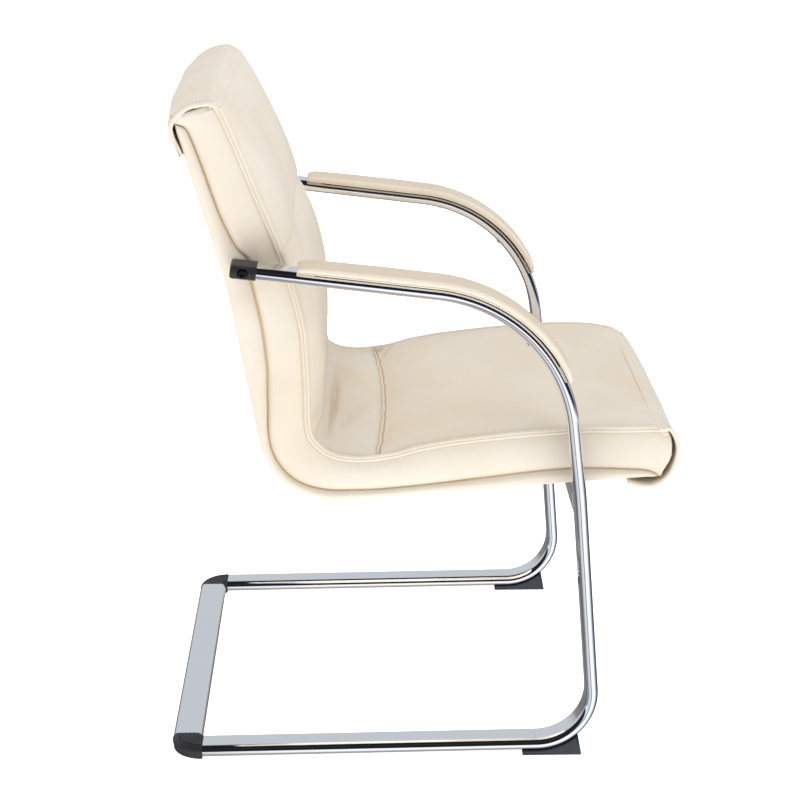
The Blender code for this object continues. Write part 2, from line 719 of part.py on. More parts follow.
def arm_end_cap(name):
    """Plastic sleeve that closes the arm's rear end, with the recess of the bolt's head."""
    width = TUBE_WIDTH + TOUCH_GAP * 2 + CAP_WALL + CAP_OUTER_WALL
    depth = TUBE_DEPTH + (TOUCH_GAP + CAP_WALL) * 2
    shift = (CAP_OUTER_WALL - CAP_WALL) / 2
    rear = ARM_REAR - ARM_LINE * (TOUCH_GAP + CAP_END_WALL)
    normal = left_of(ARM_LINE)
    rings = []
    stops = [(CAP_END_ROUNDING * along, share) for along, share in CAP_END_SHARES] + [(CAP_LENGTH, 1.0)]
    for distance, share in stops:
        middle = rear + ARM_LINE * distance
        ring = [solid_point(middle + normal * x * share, FRAME_HALF + shift + y * (share + 1) / 2)
                for x, y in flat_oval(width, depth)]
        rings.append(ring)
    cap = loft(name, rings, BLACK_PLASTIC)
    bore = []
    for distance in (-TOUCH_GAP, CAP_LENGTH):
        middle = ARM_REAR + ARM_LINE * distance
        outline = flat_oval(TUBE_WIDTH + TOUCH_GAP * 2, TUBE_DEPTH + TOUCH_GAP * 2)
        bore.append([solid_point(middle + normal * x, FRAME_HALF + y) for x, y in outline])
    cut(cap, loft("cap_bore", bore, guide=True))
    outside = FRAME_HALF + TUBE_WIDTH / 2
    hole_start = solid_point(ARM_BOLT, FRAME_INSIDE - CUT_OVERRUN)
    hole_end = solid_point(ARM_BOLT, outside)
    cut(cap, rod_cutter("cap_hole", hole_start, hole_end, ARM_BOLT_RADIUS + BOLT_CLEARANCE))
    recess_end = solid_point(ARM_BOLT, outside + CAP_OUTER_WALL * 2)
    recess_start = solid_point(ARM_BOLT, outside - CAP_WALL)
    radius = ARM_BOLT_HEAD_RADIUS + BOLT_CLEARANCE
    return cut(cap, rod_cutter("cap_recess", recess_start, recess_end, radius, RECESS_STEPS))


def anchor_inside():
    """Distance across to the inner face of the anchor's ear."""
    return PLY_HALF - ANCHOR_THICKNESS


def arm_bolt(name):
    """Button-head bolt with a hexagon socket, from the cap's recess to the nut inside."""
    seat = FRAME_HALF + TUBE_WIDTH / 2 + TOUCH_GAP
    tip = anchor_inside() - TOUCH_GAP - ANCHOR_NUT_HEIGHT
    length = seat - tip
    place = aim(solid_point(ARM_BOLT, tip), solid_point(ARM_BOLT, seat))
    head = ARM_BOLT_HEAD_RADIUS
    top = length + ARM_BOLT_HEAD_HEIGHT
    shoulder = length + ARM_BOLT_HEAD_HEIGHT * HEAD_TOP_SHARE
    shank = ARM_BOLT_RADIUS
    profile = ((0.0, top), (head * HEAD_TOP_SHARE, top), (head * HEAD_SHOULDER_SHARE, shoulder),
               (head, length), (shank, length), (shank, shank * HEAD_EDGE_SHARE),
               (shank * SHANK_TIP_SHARE, 0.0), (0.0, 0.0))
    bolt = turned(name, profile, place, STEEL, steps=BOLT_STEPS)
    socket = prism("hex_socket", HEX_KEY_RADIUS, HEX_KEY_DEPTH * 2,
                   place @ Matrix.Translation((0.0, 0.0, top - HEX_KEY_DEPTH)), guide=True)
    return cut(bolt, socket)


def arm_anchor(name):
    """Bent steel bracket on the plywood, whose ear takes the arm's bolt."""
    outer = PLY_HALF
    lift = TOUCH_GAP
    rings = []
    for distance in (ARM_BOLT_ALONG - ANCHOR_LENGTH / 2, ARM_BOLT_ALONG + ANCHOR_LENGTH / 2):
        outline = ((outer - ANCHOR_REACH, lift), (outer, lift), (outer, lift + ANCHOR_RISE),
                   (outer - ANCHOR_THICKNESS, lift + ANCHOR_RISE),
                   (outer - ANCHOR_THICKNESS, lift + ANCHOR_THICKNESS),
                   (outer - ANCHOR_REACH, lift + ANCHOR_THICKNESS))
        rings.append([anchor_point(distance, offset, across) for across, offset in outline])
    bracket = loft(name, rings, STEEL)
    start = solid_point(ARM_BOLT, outer - ANCHOR_THICKNESS * 2)
    end = solid_point(ARM_BOLT, outer + ANCHOR_THICKNESS)
    return cut(bracket, rod_cutter("anchor_hole", start, end, ARM_BOLT_RADIUS + BOLT_CLEARANCE))


def anchor_point(distance, offset, across):
    """Point of the anchor's straight frame, square to the plywood at the bolt."""
    middle = beside(SHELL, ARM_BOLT_ALONG, 0.0)
    normal = (ARM_BOLT - middle).normalized()
    travel = Vector((normal.y, -normal.x))
    return solid_point(middle + travel * (distance - ARM_BOLT_ALONG) + normal * offset, across)


def anchor_nut(name):
    """Weld nut on the inner face of the anchor's ear."""
    seat = solid_point(ARM_BOLT, anchor_inside() - TOUCH_GAP)
    end = solid_point(ARM_BOLT, anchor_inside() - TOUCH_GAP - ANCHOR_NUT_HEIGHT)
    nut = prism(name, ANCHOR_NUT_RADIUS, ANCHOR_NUT_HEIGHT, aim(end, seat), material=STEEL)
    inner = solid_point(ARM_BOLT, anchor_inside() - ANCHOR_NUT_HEIGHT - CUT_OVERRUN)
    outer = solid_point(ARM_BOLT, anchor_inside() + CUT_OVERRUN)
    return cut(nut, rod_cutter("nut_thread", inner, outer, ARM_BOLT_RADIUS + BOLT_CLEARANCE / 2))


# Arm pads

def clear_of_bends(path, distance, room):
    """Nearest distance along a path whose straight piece leaves room on both sides."""
    marks = distances(path)
    for low, high in zip(marks, marks[1:]):
        if low <= distance <= high:
            return min(max(distance, low + room), high - room)
    return distance


def pad_screw_distances():
    """Distances along the frame line of the screws under an arm."""
    room = PAD_SCREW_HEAD_RADIUS + BOLT_CLEARANCE
    return [clear_of_bends(FRAME, PAD_START + PAD_LENGTH * share, room) for share in PAD_SCREW_SHARES]


def arm_pad_base(name, grow=0.0, guide=False):
    """Stiff strip between tube and padding; grown, it is the pocket that the padding leaves."""
    low = TUBE_DEPTH / 2 + (TOUCH_GAP if not guide else -TOUCH_GAP * 2)
    high = TUBE_DEPTH / 2 + TOUCH_GAP + PAD_BASE_THICKNESS + grow
    half = PAD_BASE_WIDTH / 2 + grow
    outline = [(half, low), (half, high), (-half, high), (-half, low)]
    start = PAD_START + PAD_BASE_INSET - grow
    end = PAD_START + PAD_LENGTH - PAD_BASE_INSET + grow
    rings = []
    for distance in stations(FRAME, start, end, STATION_SPACING):
        rings.append([solid_point(beside(FRAME, distance, offset), FRAME_HALF + across)
                      for across, offset in outline])
    base = loft(name, rings, BLACK_PLASTIC, guide)
    if not guide:
        for number, along in enumerate(pad_screw_distances(), start=1):
            low = solid_point(beside(FRAME, along, 0.0), FRAME_HALF)
            high = solid_point(beside(FRAME, along, TUBE_DEPTH), FRAME_HALF)
            radius = PAD_SCREW_RADIUS + BOLT_CLEARANCE
            cut(base, rod_cutter("pilot_hole_%d" % number, low, high, radius, steps=FINE_STEPS))
    return base


def arm_pad(name):
    """Crowned padding that follows the arm down over the front bend."""
    bottom = TUBE_DEPTH / 2 + TOUCH_GAP
    marks = [PAD_START + PAD_LENGTH * share for share, _ in PAD_HEIGHT_SHARES]
    kept = [PAD_START]
    for stop in stations(FRAME, PAD_START, PAD_START + PAD_LENGTH, STATION_SPACING, marks)[1:]:
        if stop - kept[-1] > PAD_LEAST_STATION:
            kept.append(stop)
    kept[-1] = PAD_START + PAD_LENGTH
    rings = []
    for stop in kept:
        share = (stop - PAD_START) / PAD_LENGTH
        height = PAD_HEIGHT * along_pairs(PAD_HEIGHT_SHARES, share)
        half = PAD_WIDTH / 2 * along_pairs(PAD_WIDTH_SHARES, share)
        half_outline = [(half * x, bottom + height * y) for x, y in PAD_OUTLINE_SHARES]
        rings.append([solid_point(beside(FRAME, stop, offset), FRAME_HALF + across)
                      for across, offset in mirrored_outline(half_outline)])
    pad = loft(name, rings, LEATHER)
    return cut(pad, arm_pad_base("pad_pocket", grow=TOUCH_GAP, guide=True))


def pad_screw(name, along):
    """Pan-head screw from under the arm tube into the pad's base."""
    under = beside(FRAME, along, -TUBE_DEPTH / 2 - TOUCH_GAP)
    tip = beside(FRAME, along, TUBE_DEPTH / 2 + TOUCH_GAP + PAD_BASE_THICKNESS * SCREW_REACH_SHARE)
    length = (tip - under).length
    head = PAD_SCREW_HEAD_RADIUS
    bottom = -PAD_SCREW_HEAD_HEIGHT
    profile = ((0.0, length), (PAD_SCREW_RADIUS, length - PAD_SCREW_RADIUS), (PAD_SCREW_RADIUS, 0.0),
               (head, 0.0), (head, bottom / 2), (head * HEAD_TOP_SHARE, bottom), (0.0, bottom))
    place = aim(solid_point(under, FRAME_HALF), solid_point(tip, FRAME_HALF))
    return turned(name, profile, place, STEEL, steps=FINE_STEPS)


# Seat support

def seat_support_point():
    """Middle of the seat crossbar on the upright's line, its top edge just under the plates."""
    drop = COVER_OUTSIDE + TOUCH_GAP + PLATE_THICKNESS + TOUCH_GAP + TUBE_DEPTH / 2
    under = SHELL[-1] - left_of(SEAT_LINE) * drop
    top_centre = crossing(FOOT_CORNER, UPRIGHT_LINE, under, SEAT_LINE)
    return top_centre - UPRIGHT_LINE * (TUBE_WIDTH - TUBE_DEPTH) / 2


def seat_crossbar():
    """Flat-oval tube on edge between the uprights, which carries the seat."""
    half = FRAME_INSIDE - TOUCH_GAP
    upright = Vector((0.0, -UPRIGHT_LINE.x, UPRIGHT_LINE.y))
    along = Vector((1.0, 0.0, 0.0))
    turn = Matrix((along, upright.cross(along), upright)).transposed().to_4x4()
    place = Matrix.Translation(solid_point(seat_support_point(), 0.0)) @ turn
    return oval_tube("seat_crossbar", [(-half, 0.0), (half, 0.0)], place, CHROME)


def under_seat(distance, depth, across):
    """Point below the seat shell: distance forward of the crossbar, depth below the cover."""
    top_centre = seat_support_point() + UPRIGHT_LINE * (TUBE_WIDTH - TUBE_DEPTH) / 2
    on_line = crossing(top_centre, left_of(SEAT_LINE), SHELL[-1], SEAT_LINE)
    side_point = on_line + SEAT_LINE * distance - left_of(SEAT_LINE) * (COVER_OUTSIDE + depth)
    return solid_point(side_point, across)


def seat_plate(name):
    """Steel plate on the crossbar, bolted up into the shell."""
    middle = under_seat(PLATE_OVERHANG - PLATE_LENGTH / 2, TOUCH_GAP + PLATE_THICKNESS / 2, PLATE_SPREAD / 2)
    plate = box(name, (PLATE_WIDTH, PLATE_LENGTH, PLATE_THICKNESS), seat_place(middle), STEEL)
    for number, share in enumerate(PLATE_BOLT_SHARES, start=1):
        low, high = seat_bolt_line(share, PLATE_SPREAD / 2, -CUT_OVERRUN, 0.0)
        cut(plate, rod_cutter("plate_hole_%d" % number, low, high, SEAT_BOLT_RADIUS + BOLT_CLEARANCE))
    return plate


def seat_place(point):
    """Placement at a point with its Z axis square to the seat shell."""
    return Matrix.Translation(point) @ Matrix.Rotation(-SEAT_PITCH, 4, "X")


def seat_bolt_line(share, across, below, above):
    """Points on a seat bolt's axis, below the plate's underside and above the cover's underside."""
    distance = PLATE_OVERHANG - PLATE_LENGTH * share
    plate_low = TOUCH_GAP + PLATE_THICKNESS
    return under_seat(distance, plate_low - below, across), under_seat(distance, -above, across)


def seat_bolt(name, share, across):
    """Hexagon bolt from under the plate into its insert."""
    low, high = seat_bolt_line(share, across, -TOUCH_GAP, COVER_OUTSIDE - INSERT_FLANGE_THICKNESS)
    length = (high - low).length
    head = SEAT_BOLT_HEAD_RADIUS
    profile = ((0.0, length), (SEAT_BOLT_RADIUS, length - SEAT_BOLT_RADIUS * HEAD_EDGE_SHARE),
               (SEAT_BOLT_RADIUS, 0.0), (head, 0.0), (head, -SEAT_BOLT_HEAD_HEIGHT * HEX_CHAMFER_SHARE),
               (head * HEX_CHAMFER_SHARE, -SEAT_BOLT_HEAD_HEIGHT), (0.0, -SEAT_BOLT_HEAD_HEIGHT))
    return turned(name, profile, aim(low, high), STEEL, steps=HEX_SIDES)


def seat_insert(name, share, across):
    """Threaded insert let into the plywood's top face."""
    low, high = seat_bolt_line(share, across, 0.0, COVER_OUTSIDE - TOUCH_GAP)
    axis = (high - low).normalized()
    flange = -INSERT_FLANGE_THICKNESS
    bore = SEAT_BOLT_RADIUS + BOLT_CLEARANCE / 2
    profile = ((bore, 0.0), (INSERT_FLANGE_RADIUS, 0.0), (INSERT_FLANGE_RADIUS, flange),
               (INSERT_BARREL_RADIUS, flange), (INSERT_BARREL_RADIUS, flange - INSERT_BARREL_LENGTH),
               (bore, flange - INSERT_BARREL_LENGTH))
    return turned(name, profile, aim(high, high + axis), STEEL)


# Upholstery

def plywood_shell():
    """Bent plywood under the whole cushion, drilled for its inserts."""
    stops = stations(SHELL, PLY_START, PLY_END, SHELL_LENGTH)
    curve = flat_curve("plywood_shell", [tuple(beside(SHELL, distance, 0.0)) for distance in stops], False)
    curve.fill_mode = "NONE"
    curve.extrude = PLY_HALF
    sheet = add_object("plywood_shell", curve, PLYWOOD)
    sheet.matrix_local = side_place(0.0)
    wall = sheet.modifiers.new("plies", "SOLIDIFY")
    wall.thickness = PLY_THICKNESS
    wall.offset = -1.0
    wall.use_even_offset = True
    shell = as_mesh(sheet)
    for side, sign in SIDES:
        for number, share in enumerate(PLATE_BOLT_SHARES, start=1):
            tag = "%s_%d" % (side, number)
            across = sign * PLATE_SPREAD / 2
            low, high = seat_bolt_line(share, across, 0.0, COVER_OUTSIDE + CUT_OVERRUN)
            cut(shell, rod_cutter("insert_hole_" + tag, low, high, INSERT_BARREL_RADIUS + TOUCH_GAP))
            depth = COVER_OUTSIDE - TOUCH_GAP * 2 - INSERT_FLANGE_THICKNESS
            start, end = seat_bolt_line(share, across, 0.0, depth)
            cut(shell, rod_cutter("flange_recess_" + tag, end, high, INSERT_FLANGE_RADIUS + TOUCH_GAP))
    return shell


def lip_rise(distance):
    """How far the roll's front edge stands in front of the plywood's front face."""
    return LIP_RISE * along_pairs(LIP_RISE_SHARES, distance / SHELL_LENGTH, eased=False)


def shell_stations(start, end):
    """Stations along the shell that the roll and the cushions share."""
    marks = [SHELL_LENGTH * share for share, rise in LIP_RISE_SHARES]
    return stations(SHELL, start, end, STATION_SPACING, marks)


def end_rounding(distance, start, end, radius):
    """From 0 at a rounded end to 1 inside it."""
    inside = min(distance - start, end - distance)
    if inside >= radius:
        return 1.0
    return math.sqrt(1 - (1 - inside / radius) ** 2)


def cover_outline(distance, start, end):
    """Outline of the rear cover: flat back, rolled edges, and lips that end beside the plywood."""
    room = COVER_END * ROLL_END_ROOM_SHARE
    full = end_rounding(distance, start - room, end + room, COVER_END)
    lip = lip_rise(distance)
    middle = (lip - COVER_OUTSIDE) / 2
    reach = (lip + COVER_OUTSIDE) / 2 * full
    half = ROLL_HALF - LIP_WIDTH * (1 - full) / 2
    outline = [(half * x, middle - reach) for x in ROLL_BACK_SHARES]
    outline += [(half - (1 - x) * LIP_WIDTH, middle + reach * y) for x, y in ROLL_EDGE_SHARES]
    return mirrored_outline(outline)


def rear_cover():
    """Padded skin behind and under the shell, rolled round its edges, with a pocket for the plywood."""
    start = PLY_START - COVER_END
    end = PLY_END + COVER_END
    stops = [start + COVER_END * share for share in ROLL_END_SHARES]
    stops += shell_stations(PLY_START - TOUCH_GAP, PLY_END + TOUCH_GAP)
    stops += [end - COVER_END * share for share in reversed(ROLL_END_SHARES)]
    solid = len(ROLL_END_SHARES)
    half = PLY_HALF + TOUCH_GAP
    floor = ((half, -PLY_THICKNESS - TOUCH_GAP), (-half, -PLY_THICKNESS - TOUCH_GAP))
    shape = bmesh.new()
    rows = []
    for index, distance in enumerate(stops):
        ring = side_ring(SHELL, distance, cover_outline(distance, start, end))
        outer = [shape.verts.new(point) for point in ring]
        inner = []
        if solid <= index < len(stops) - solid:
            inner = [shape.verts.new(point) for point in side_ring(SHELL, distance, floor)]
        rows.append((outer, inner))
    middle = len(rows[0][0]) // 2
    for (outer, inner), (next_outer, next_inner) in zip(rows, rows[1:]):
        if inner and next_inner:
            bridge(shape, outer[:middle] + inner + outer[middle:],
                   next_outer[:middle] + next_inner + next_outer[middle:])
            continue
        bridge(shape, outer, next_outer)
        if inner:
            shape.faces.new([outer[middle - 1]] + inner + [outer[middle]])
        if next_inner:
            shape.faces.new([next_outer[middle - 1]] + next_inner + [next_outer[middle]])
    shape.faces.new(rows[0][0])
    shape.faces.new(rows[-1][0])
    cover = mesh_object("rear_cover", shape, LEATHER)
    for side, sign in SIDES:
        near = solid_point(ARM_BOLT, sign * (PLY_HALF - CUT_OVERRUN))
        far = solid_point(ARM_BOLT, sign * (ROLL_HALF + CUT_OVERRUN))
        cut(cover, rod_cutter("roll_hole_" + side, near, far, ARM_BOLT_RADIUS + BOLT_CLEARANCE))
        for number, share in enumerate(PLATE_BOLT_SHARES, start=1):
            low, high = seat_bolt_line(share, sign * PLATE_SPREAD / 2, 0.0, COVER_SKIN + CUT_OVERRUN)
            tag = "cover_hole_%s_%d" % (side, number)
            cut(cover, rod_cutter(tag, low, high, SEAT_BOLT_RADIUS + BOLT_CLEARANCE, steps=FINE_STEPS))
    return cover


def cushion_depth(distance):
    """Height of the cushion's edge in front of the plywood."""
    return CUSHION_DEPTH * along_pairs(CUSHION_DEPTH_SHARES, distance / SHELL_LENGTH)


def cushion_crown(distance):
    """Extra height at the cushion's middle."""
    return CUSHION_CROWN * along_pairs(CROWN_SHARES, distance / SHELL_LENGTH)


def face_rise(crown, share):
    """Rise of the cushion's face above its edge at a share of its half width, the welt's hump included."""
    return crown * (1 - share ** CROWN_POWER) + WELT_HUMP * (1 - share ** WELT_HUMP_POWER)


def cushion_outline(distance, drop):
    """Half outline of the boxed cushion: rear face, step past the roll, boxing, welt and crowned face."""
    rear = TOUCH_GAP
    lip = lip_rise(distance) + TOUCH_GAP + LIP_STEP
    depth = cushion_depth(distance) - SEAM_DROP * drop
    crown = cushion_crown(distance) - SEAM_CROWN_DROP * drop
    inner = PLY_HALF - TOUCH_GAP
    boxing = ROLL_HALF - BOXING_INSET - WELT_DRAW * drop
    middle = (lip + depth) / 2
    outline = [(inner * REAR_FACE_SHARE, rear), (inner, rear), (inner, lip), (boxing - BOXING_BULGE, lip),
               (boxing, middle),
               (boxing - BOXING_BULGE, depth - WELT_RISE * 2), (boxing, depth - WELT_RISE),
               (boxing - WELT_DRAW, depth)]
    face = boxing - WELT_DRAW * 3
    for share in FACE_SHARES:
        outline.append((face * share, depth + face_rise(crown, share)))
    return outline


def seam_bow(distance, across):
    """Forward shift of the cushion's stations round the seat's bowed cross seam."""
    near = max(0.0, 1 - abs(distance - SHELL_LENGTH * SEAT_SEAM_SHARE) / SEAM_BOW_REACH)
    return SEAT_SEAM_BOW * near * (1 - (across / ROLL_HALF) ** 2)


def cushion(name, start, end, round_start, round_end):
    """Stretch of the cushion between two seams, its face drawn down at each sewn end."""
    near = [start + SEAM_ROUNDING * share for share in SEAM_END_SHARES] if round_start else [start]
    far = [end - SEAM_ROUNDING * share for share in reversed(SEAM_END_SHARES)] if round_end else [end]
    first = near[-1] + (SEAM_ROUNDING / 2 if round_start else 0.0)
    last = far[0] - (SEAM_ROUNDING / 2 if round_end else 0.0)
    middle = shell_stations(first, last)
    if not round_start:
        near = []
    if not round_end:
        far = []
    rings = []
    stops = near + middle + far
    for distance in stops:
        low = start if round_start else start - SEAM_ROUNDING
        high = end if round_end else end + SEAM_ROUNDING
        drop = 1 - end_rounding(distance, low, high, SEAM_ROUNDING)
        outline = mirrored_outline(cushion_outline(distance, drop))
        rings.append([solid_point(beside(SHELL, distance + seam_bow(distance, across), offset), across)
                      for across, offset in outline])
    hubs = []
    for distance in (stops[0], stops[-1]):
        bow = seam_bow(distance, 0.0)
        hub = solid_point(beside(SHELL, distance + bow, cushion_depth(distance) / 2), 0.0)
        hubs.append(hub if bow > 0.0 else None)
    return loft(name, rings, LEATHER, hubs=hubs)


def anchor_pockets(pad):
    """Room in the padding for the two arm anchors, their nuts and the arm bolts."""
    for side, sign in SIDES:
        outline = ((PLY_HALF - ANCHOR_REACH - TOUCH_GAP * 2, -TOUCH_GAP * 2),
                   (PLY_HALF + CUT_OVERRUN, -TOUCH_GAP * 2),
                   (PLY_HALF + CUT_OVERRUN, ANCHOR_RISE + TOUCH_GAP * 3),
                   (PLY_HALF - ANCHOR_REACH - TOUCH_GAP * 2, ANCHOR_RISE + TOUCH_GAP * 3))
        rings = []
        for end in (-1, 1):
            distance = ARM_BOLT_ALONG + end * (ANCHOR_LENGTH / 2 + TOUCH_GAP * 2)
            rings.append([anchor_point(distance, offset, sign * across) for across, offset in outline])
        cut(pad, loft("anchor_pocket_%s_%s" % (pad.name, side), rings, guide=True))
        near = solid_point(ARM_BOLT, sign * (PLY_HALF - CUT_OVERRUN))
        far = solid_point(ARM_BOLT, sign * (ROLL_HALF + CUT_OVERRUN))
        tag = "bolt_hole_%s_%s" % (pad.name, side)
        cut(pad, rod_cutter(tag, near, far, ARM_BOLT_RADIUS + BOLT_CLEARANCE))
    return pad


def wrap_rings(outline, place, height):
    """Rings of a wrap across the chair; outline points are (past the end, depth, crown share both ways)."""
    half = ROLL_HALF - BOXING_INSET
    rings = []
    for share in WRAP_ACROSS_SHARES:
        crown = height * (1 - abs(share) ** WRAP_CROWN_POWER)
        ring = []
        for past, depth, crown_past, crown_depth in outline(abs(share)):
            point = place(past + crown * crown_past, depth + crown * crown_depth)
            ring.append(solid_point(point, half * share))
        rings.append(ring)
    return rings


def face_height(distance, share):
    """Height of the cushion's crowned face at a share of its half width."""
    boxing = ROLL_HALF - BOXING_INSET
    near = min(1.0, share * boxing / (boxing - WELT_DRAW * 3))
    return cushion_depth(distance) + face_rise(cushion_crown(distance), near)


def top_flap():
    """Leather hood over the top of the back, hanging down behind as a flap."""
    skin = WRAP_SKIN
    rear = -COVER_OUTSIDE - TOUCH_GAP

    def outline(share):
        top = face_height(0.0, share)
        return ((TOUCH_GAP, top, 0.0, 0.0), (skin * 0.55, top - skin * 0.35, 0.1, 0.0),
                (skin * 0.95, top - skin * 1.5, 0.5, 0.0), (skin * 1.1, top * 0.42, 1.0, 0.0),
                (skin * 0.9, 0.0, 1.0, -0.2), (skin * 0.1, rear * 0.62, 0.8, -0.5),
                (-skin * 1.3, rear - skin * 0.4, 0.4, -0.8), (-skin * 3.2, rear - skin, 0.0, -0.7),
                (-FLAP_DROP * 0.7, rear - FLAP_STANDOFF, 0.0, -0.4), (-FLAP_DROP, rear - skin, 0.0, -0.2),
                (-FLAP_DROP, rear, 0.0, -0.1), (-FLAP_DROP * 0.6, rear, 0.0, -0.02),
                (-PLY_TOP_INSET * 0.72, rear, 0.0, 0.0), (-PLY_TOP_INSET * 0.42, rear * 0.72, 0.0, 0.0),
                (TOUCH_GAP, -TOUCH_GAP, 0.0, 0.0))

    def place(past, depth):
        direction = (SHELL[0] - SHELL[1]).normalized()
        normal = Vector((direction.y, -direction.x))
        return SHELL[0] + direction * past + normal * depth
    return loft("top_flap", wrap_rings(outline, place, WRAP_CROWN), LEATHER)


def front_wrap():
    """Leather nose hung round the front of the seat, open at its ends and tucked back underneath."""
    skin = WRAP_SKIN
    reach = FRONT_WRAP_REACH
    rear = -COVER_OUTSIDE - TOUCH_GAP
    low = rear - FRONT_WRAP_SAG
    tuck = -FRONT_WRAP_TUCK

    def outline(share):
        top = face_height(SHELL_LENGTH, share)
        return ((TOUCH_GAP, top, 0.0, 0.0), (reach * 0.35, top - skin * 0.25, 0.3, 0.0),
                (reach * 0.75, top - skin * 1.5, 0.7, 0.0), (reach, top * 0.56, 1.0, 0.0),
                (reach * 0.98, top * 0.28, 1.0, 0.0), (reach * 0.72, rear * 0.15, 0.7, 0.0),
                (reach * 0.18, low + skin * 0.7, 0.3, 0.0), (tuck * 0.22, low + skin * 0.1, 0.1, 0.0),
                (tuck * 0.47, low, 0.0, 0.0), (tuck * 0.74, low + skin * 0.3, 0.0, 0.0),
                (tuck, rear - skin, 0.0, 0.0), (tuck, rear, 0.0, 0.0),
                (tuck * 0.80, rear, 0.0, 0.0), (tuck * 0.47, low + skin, 0.0, 0.0),
                (tuck * 0.20, low + skin * 1.1, 0.1, 0.0), (0.0, low + skin * 1.6, 0.2, 0.0),
                (reach * 0.72 - skin, rear * 0.15, 0.7, 0.0), (reach - skin, top * 0.30, 1.0, 0.0),
                (reach - skin, top * 0.56, 1.0, 0.0), (reach * 0.45, top - skin * 1.9, 0.5, 0.0),
                (TOUCH_GAP, top - skin * 1.4, 0.0, 0.0))

    def place(past, depth):
        return SHELL[-1] + SEAT_LINE * past + left_of(SEAT_LINE) * depth
    return loft("front_wrap", wrap_rings(outline, place, FRONT_WRAP_CROWN), LEATHER)


def new_collection(name):
    collection = bpy.data.collections.new(name)
    bpy.context.scene.collection.children.link(collection)
    return collection


def clear_scene():
    for old in list(bpy.data.objects):
        bpy.data.objects.remove(old)


clear_scene()
PARTS = new_collection("conference_chair")
GUIDES = new_collection("cutters_and_guides")
CHAIR = bpy.data.objects.new("chair_origin", None)
PARTS.objects.link(CHAIR)

CHROME = make_material("chrome", (0.82, 0.83, 0.85), 0.08, 1.0)
STEEL = make_material("zinc_steel", (0.55, 0.56, 0.58), 0.35, 1.0)
BLACK_PLASTIC = make_material("black_plastic", (0.02, 0.02, 0.023), 0.45)
RUBBER = make_material("black_rubber", (0.015, 0.016, 0.02), 0.75)
LEATHER = make_material("cream_leather", (0.85, 0.76, 0.63), 0.48)
PLYWOOD = make_material("birch_plywood", (0.55, 0.38, 0.22), 0.65)

OVAL_CURVE = flat_curve("oval_section", flat_oval(TUBE_WIDTH, TUBE_DEPTH), True)
OVAL = add_object("oval_section", OVAL_CURVE, guide=True)


def centre_chair():
    """Move the chair along Y until the middle of its box lies over the origin."""
    bpy.context.view_layer.update()
    graph = bpy.context.evaluated_depsgraph_get()
    reach = []
    for piece in PARTS.objects:
        if piece.type == "MESH":
            solid = piece.evaluated_get(graph)
            reach += [(solid.matrix_world @ Vector(corner)).y for corner in solid.bound_box]
    CHAIR.location.y = -(min(reach) + max(reach)) / 2


def build_chair():
    both_sides("side_frame", side_frame)
    both_sides("corner_cap", corner_cap)
    rear_crossbar()
    both_sides("glide", glide)
    both_sides("glide_screw", glide_screw)
    both_sides("arm_end_cap", arm_end_cap)
    both_sides("arm_bolt", arm_bolt)
    both_sides("arm_anchor", arm_anchor)
    both_sides("arm_anchor_nut", anchor_nut)
    both_sides("arm_pad_base", arm_pad_base)
    both_sides("arm_pad", arm_pad)
    for number, along in enumerate(pad_screw_distances(), start=1):
        left = pad_screw("arm_pad_screw_%d_left" % number, along)
        mirror_copy(left, "arm_pad_screw_%d_right" % number)
    seat_crossbar()
    both_sides("seat_plate", seat_plate)
    for side, sign in SIDES:
        for number, share in enumerate(PLATE_BOLT_SHARES, start=1):
            seat_bolt("seat_bolt_%d_%s" % (number, side), share, sign * PLATE_SPREAD / 2)
            seat_insert("seat_insert_%d_%s" % (number, side), share, sign * PLATE_SPREAD / 2)
    plywood_shell()
    rear_cover()
    back_seam = SHELL_LENGTH * BACK_SEAM_SHARE
    seat_seam = SHELL_LENGTH * SEAT_SEAM_SHARE
    half_gap = TOUCH_GAP / 2
    anchor_pockets(cushion("back_cushion", 0.0, back_seam - half_gap, False, True))
    anchor_pockets(cushion("lumbar_cushion", back_seam + half_gap, seat_seam - half_gap, True, True))
    cushion("seat_cushion", seat_seam + half_gap, SHELL_LENGTH, True, False)
    top_flap()
    front_wrap()


build_chair()
centre_chair()
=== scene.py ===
# Dresses the conference chair: chromed tubes, sewn leather padding, black fittings and a pale studio.
# Metres, +Z up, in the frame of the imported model. Side-view points are (forward, height).
import json
import math
from collections import namedtuple

import bmesh
import bpy
import numpy as np
from bpy.props import FloatProperty, FloatVectorProperty, PointerProperty
from mathutils import Matrix, Vector

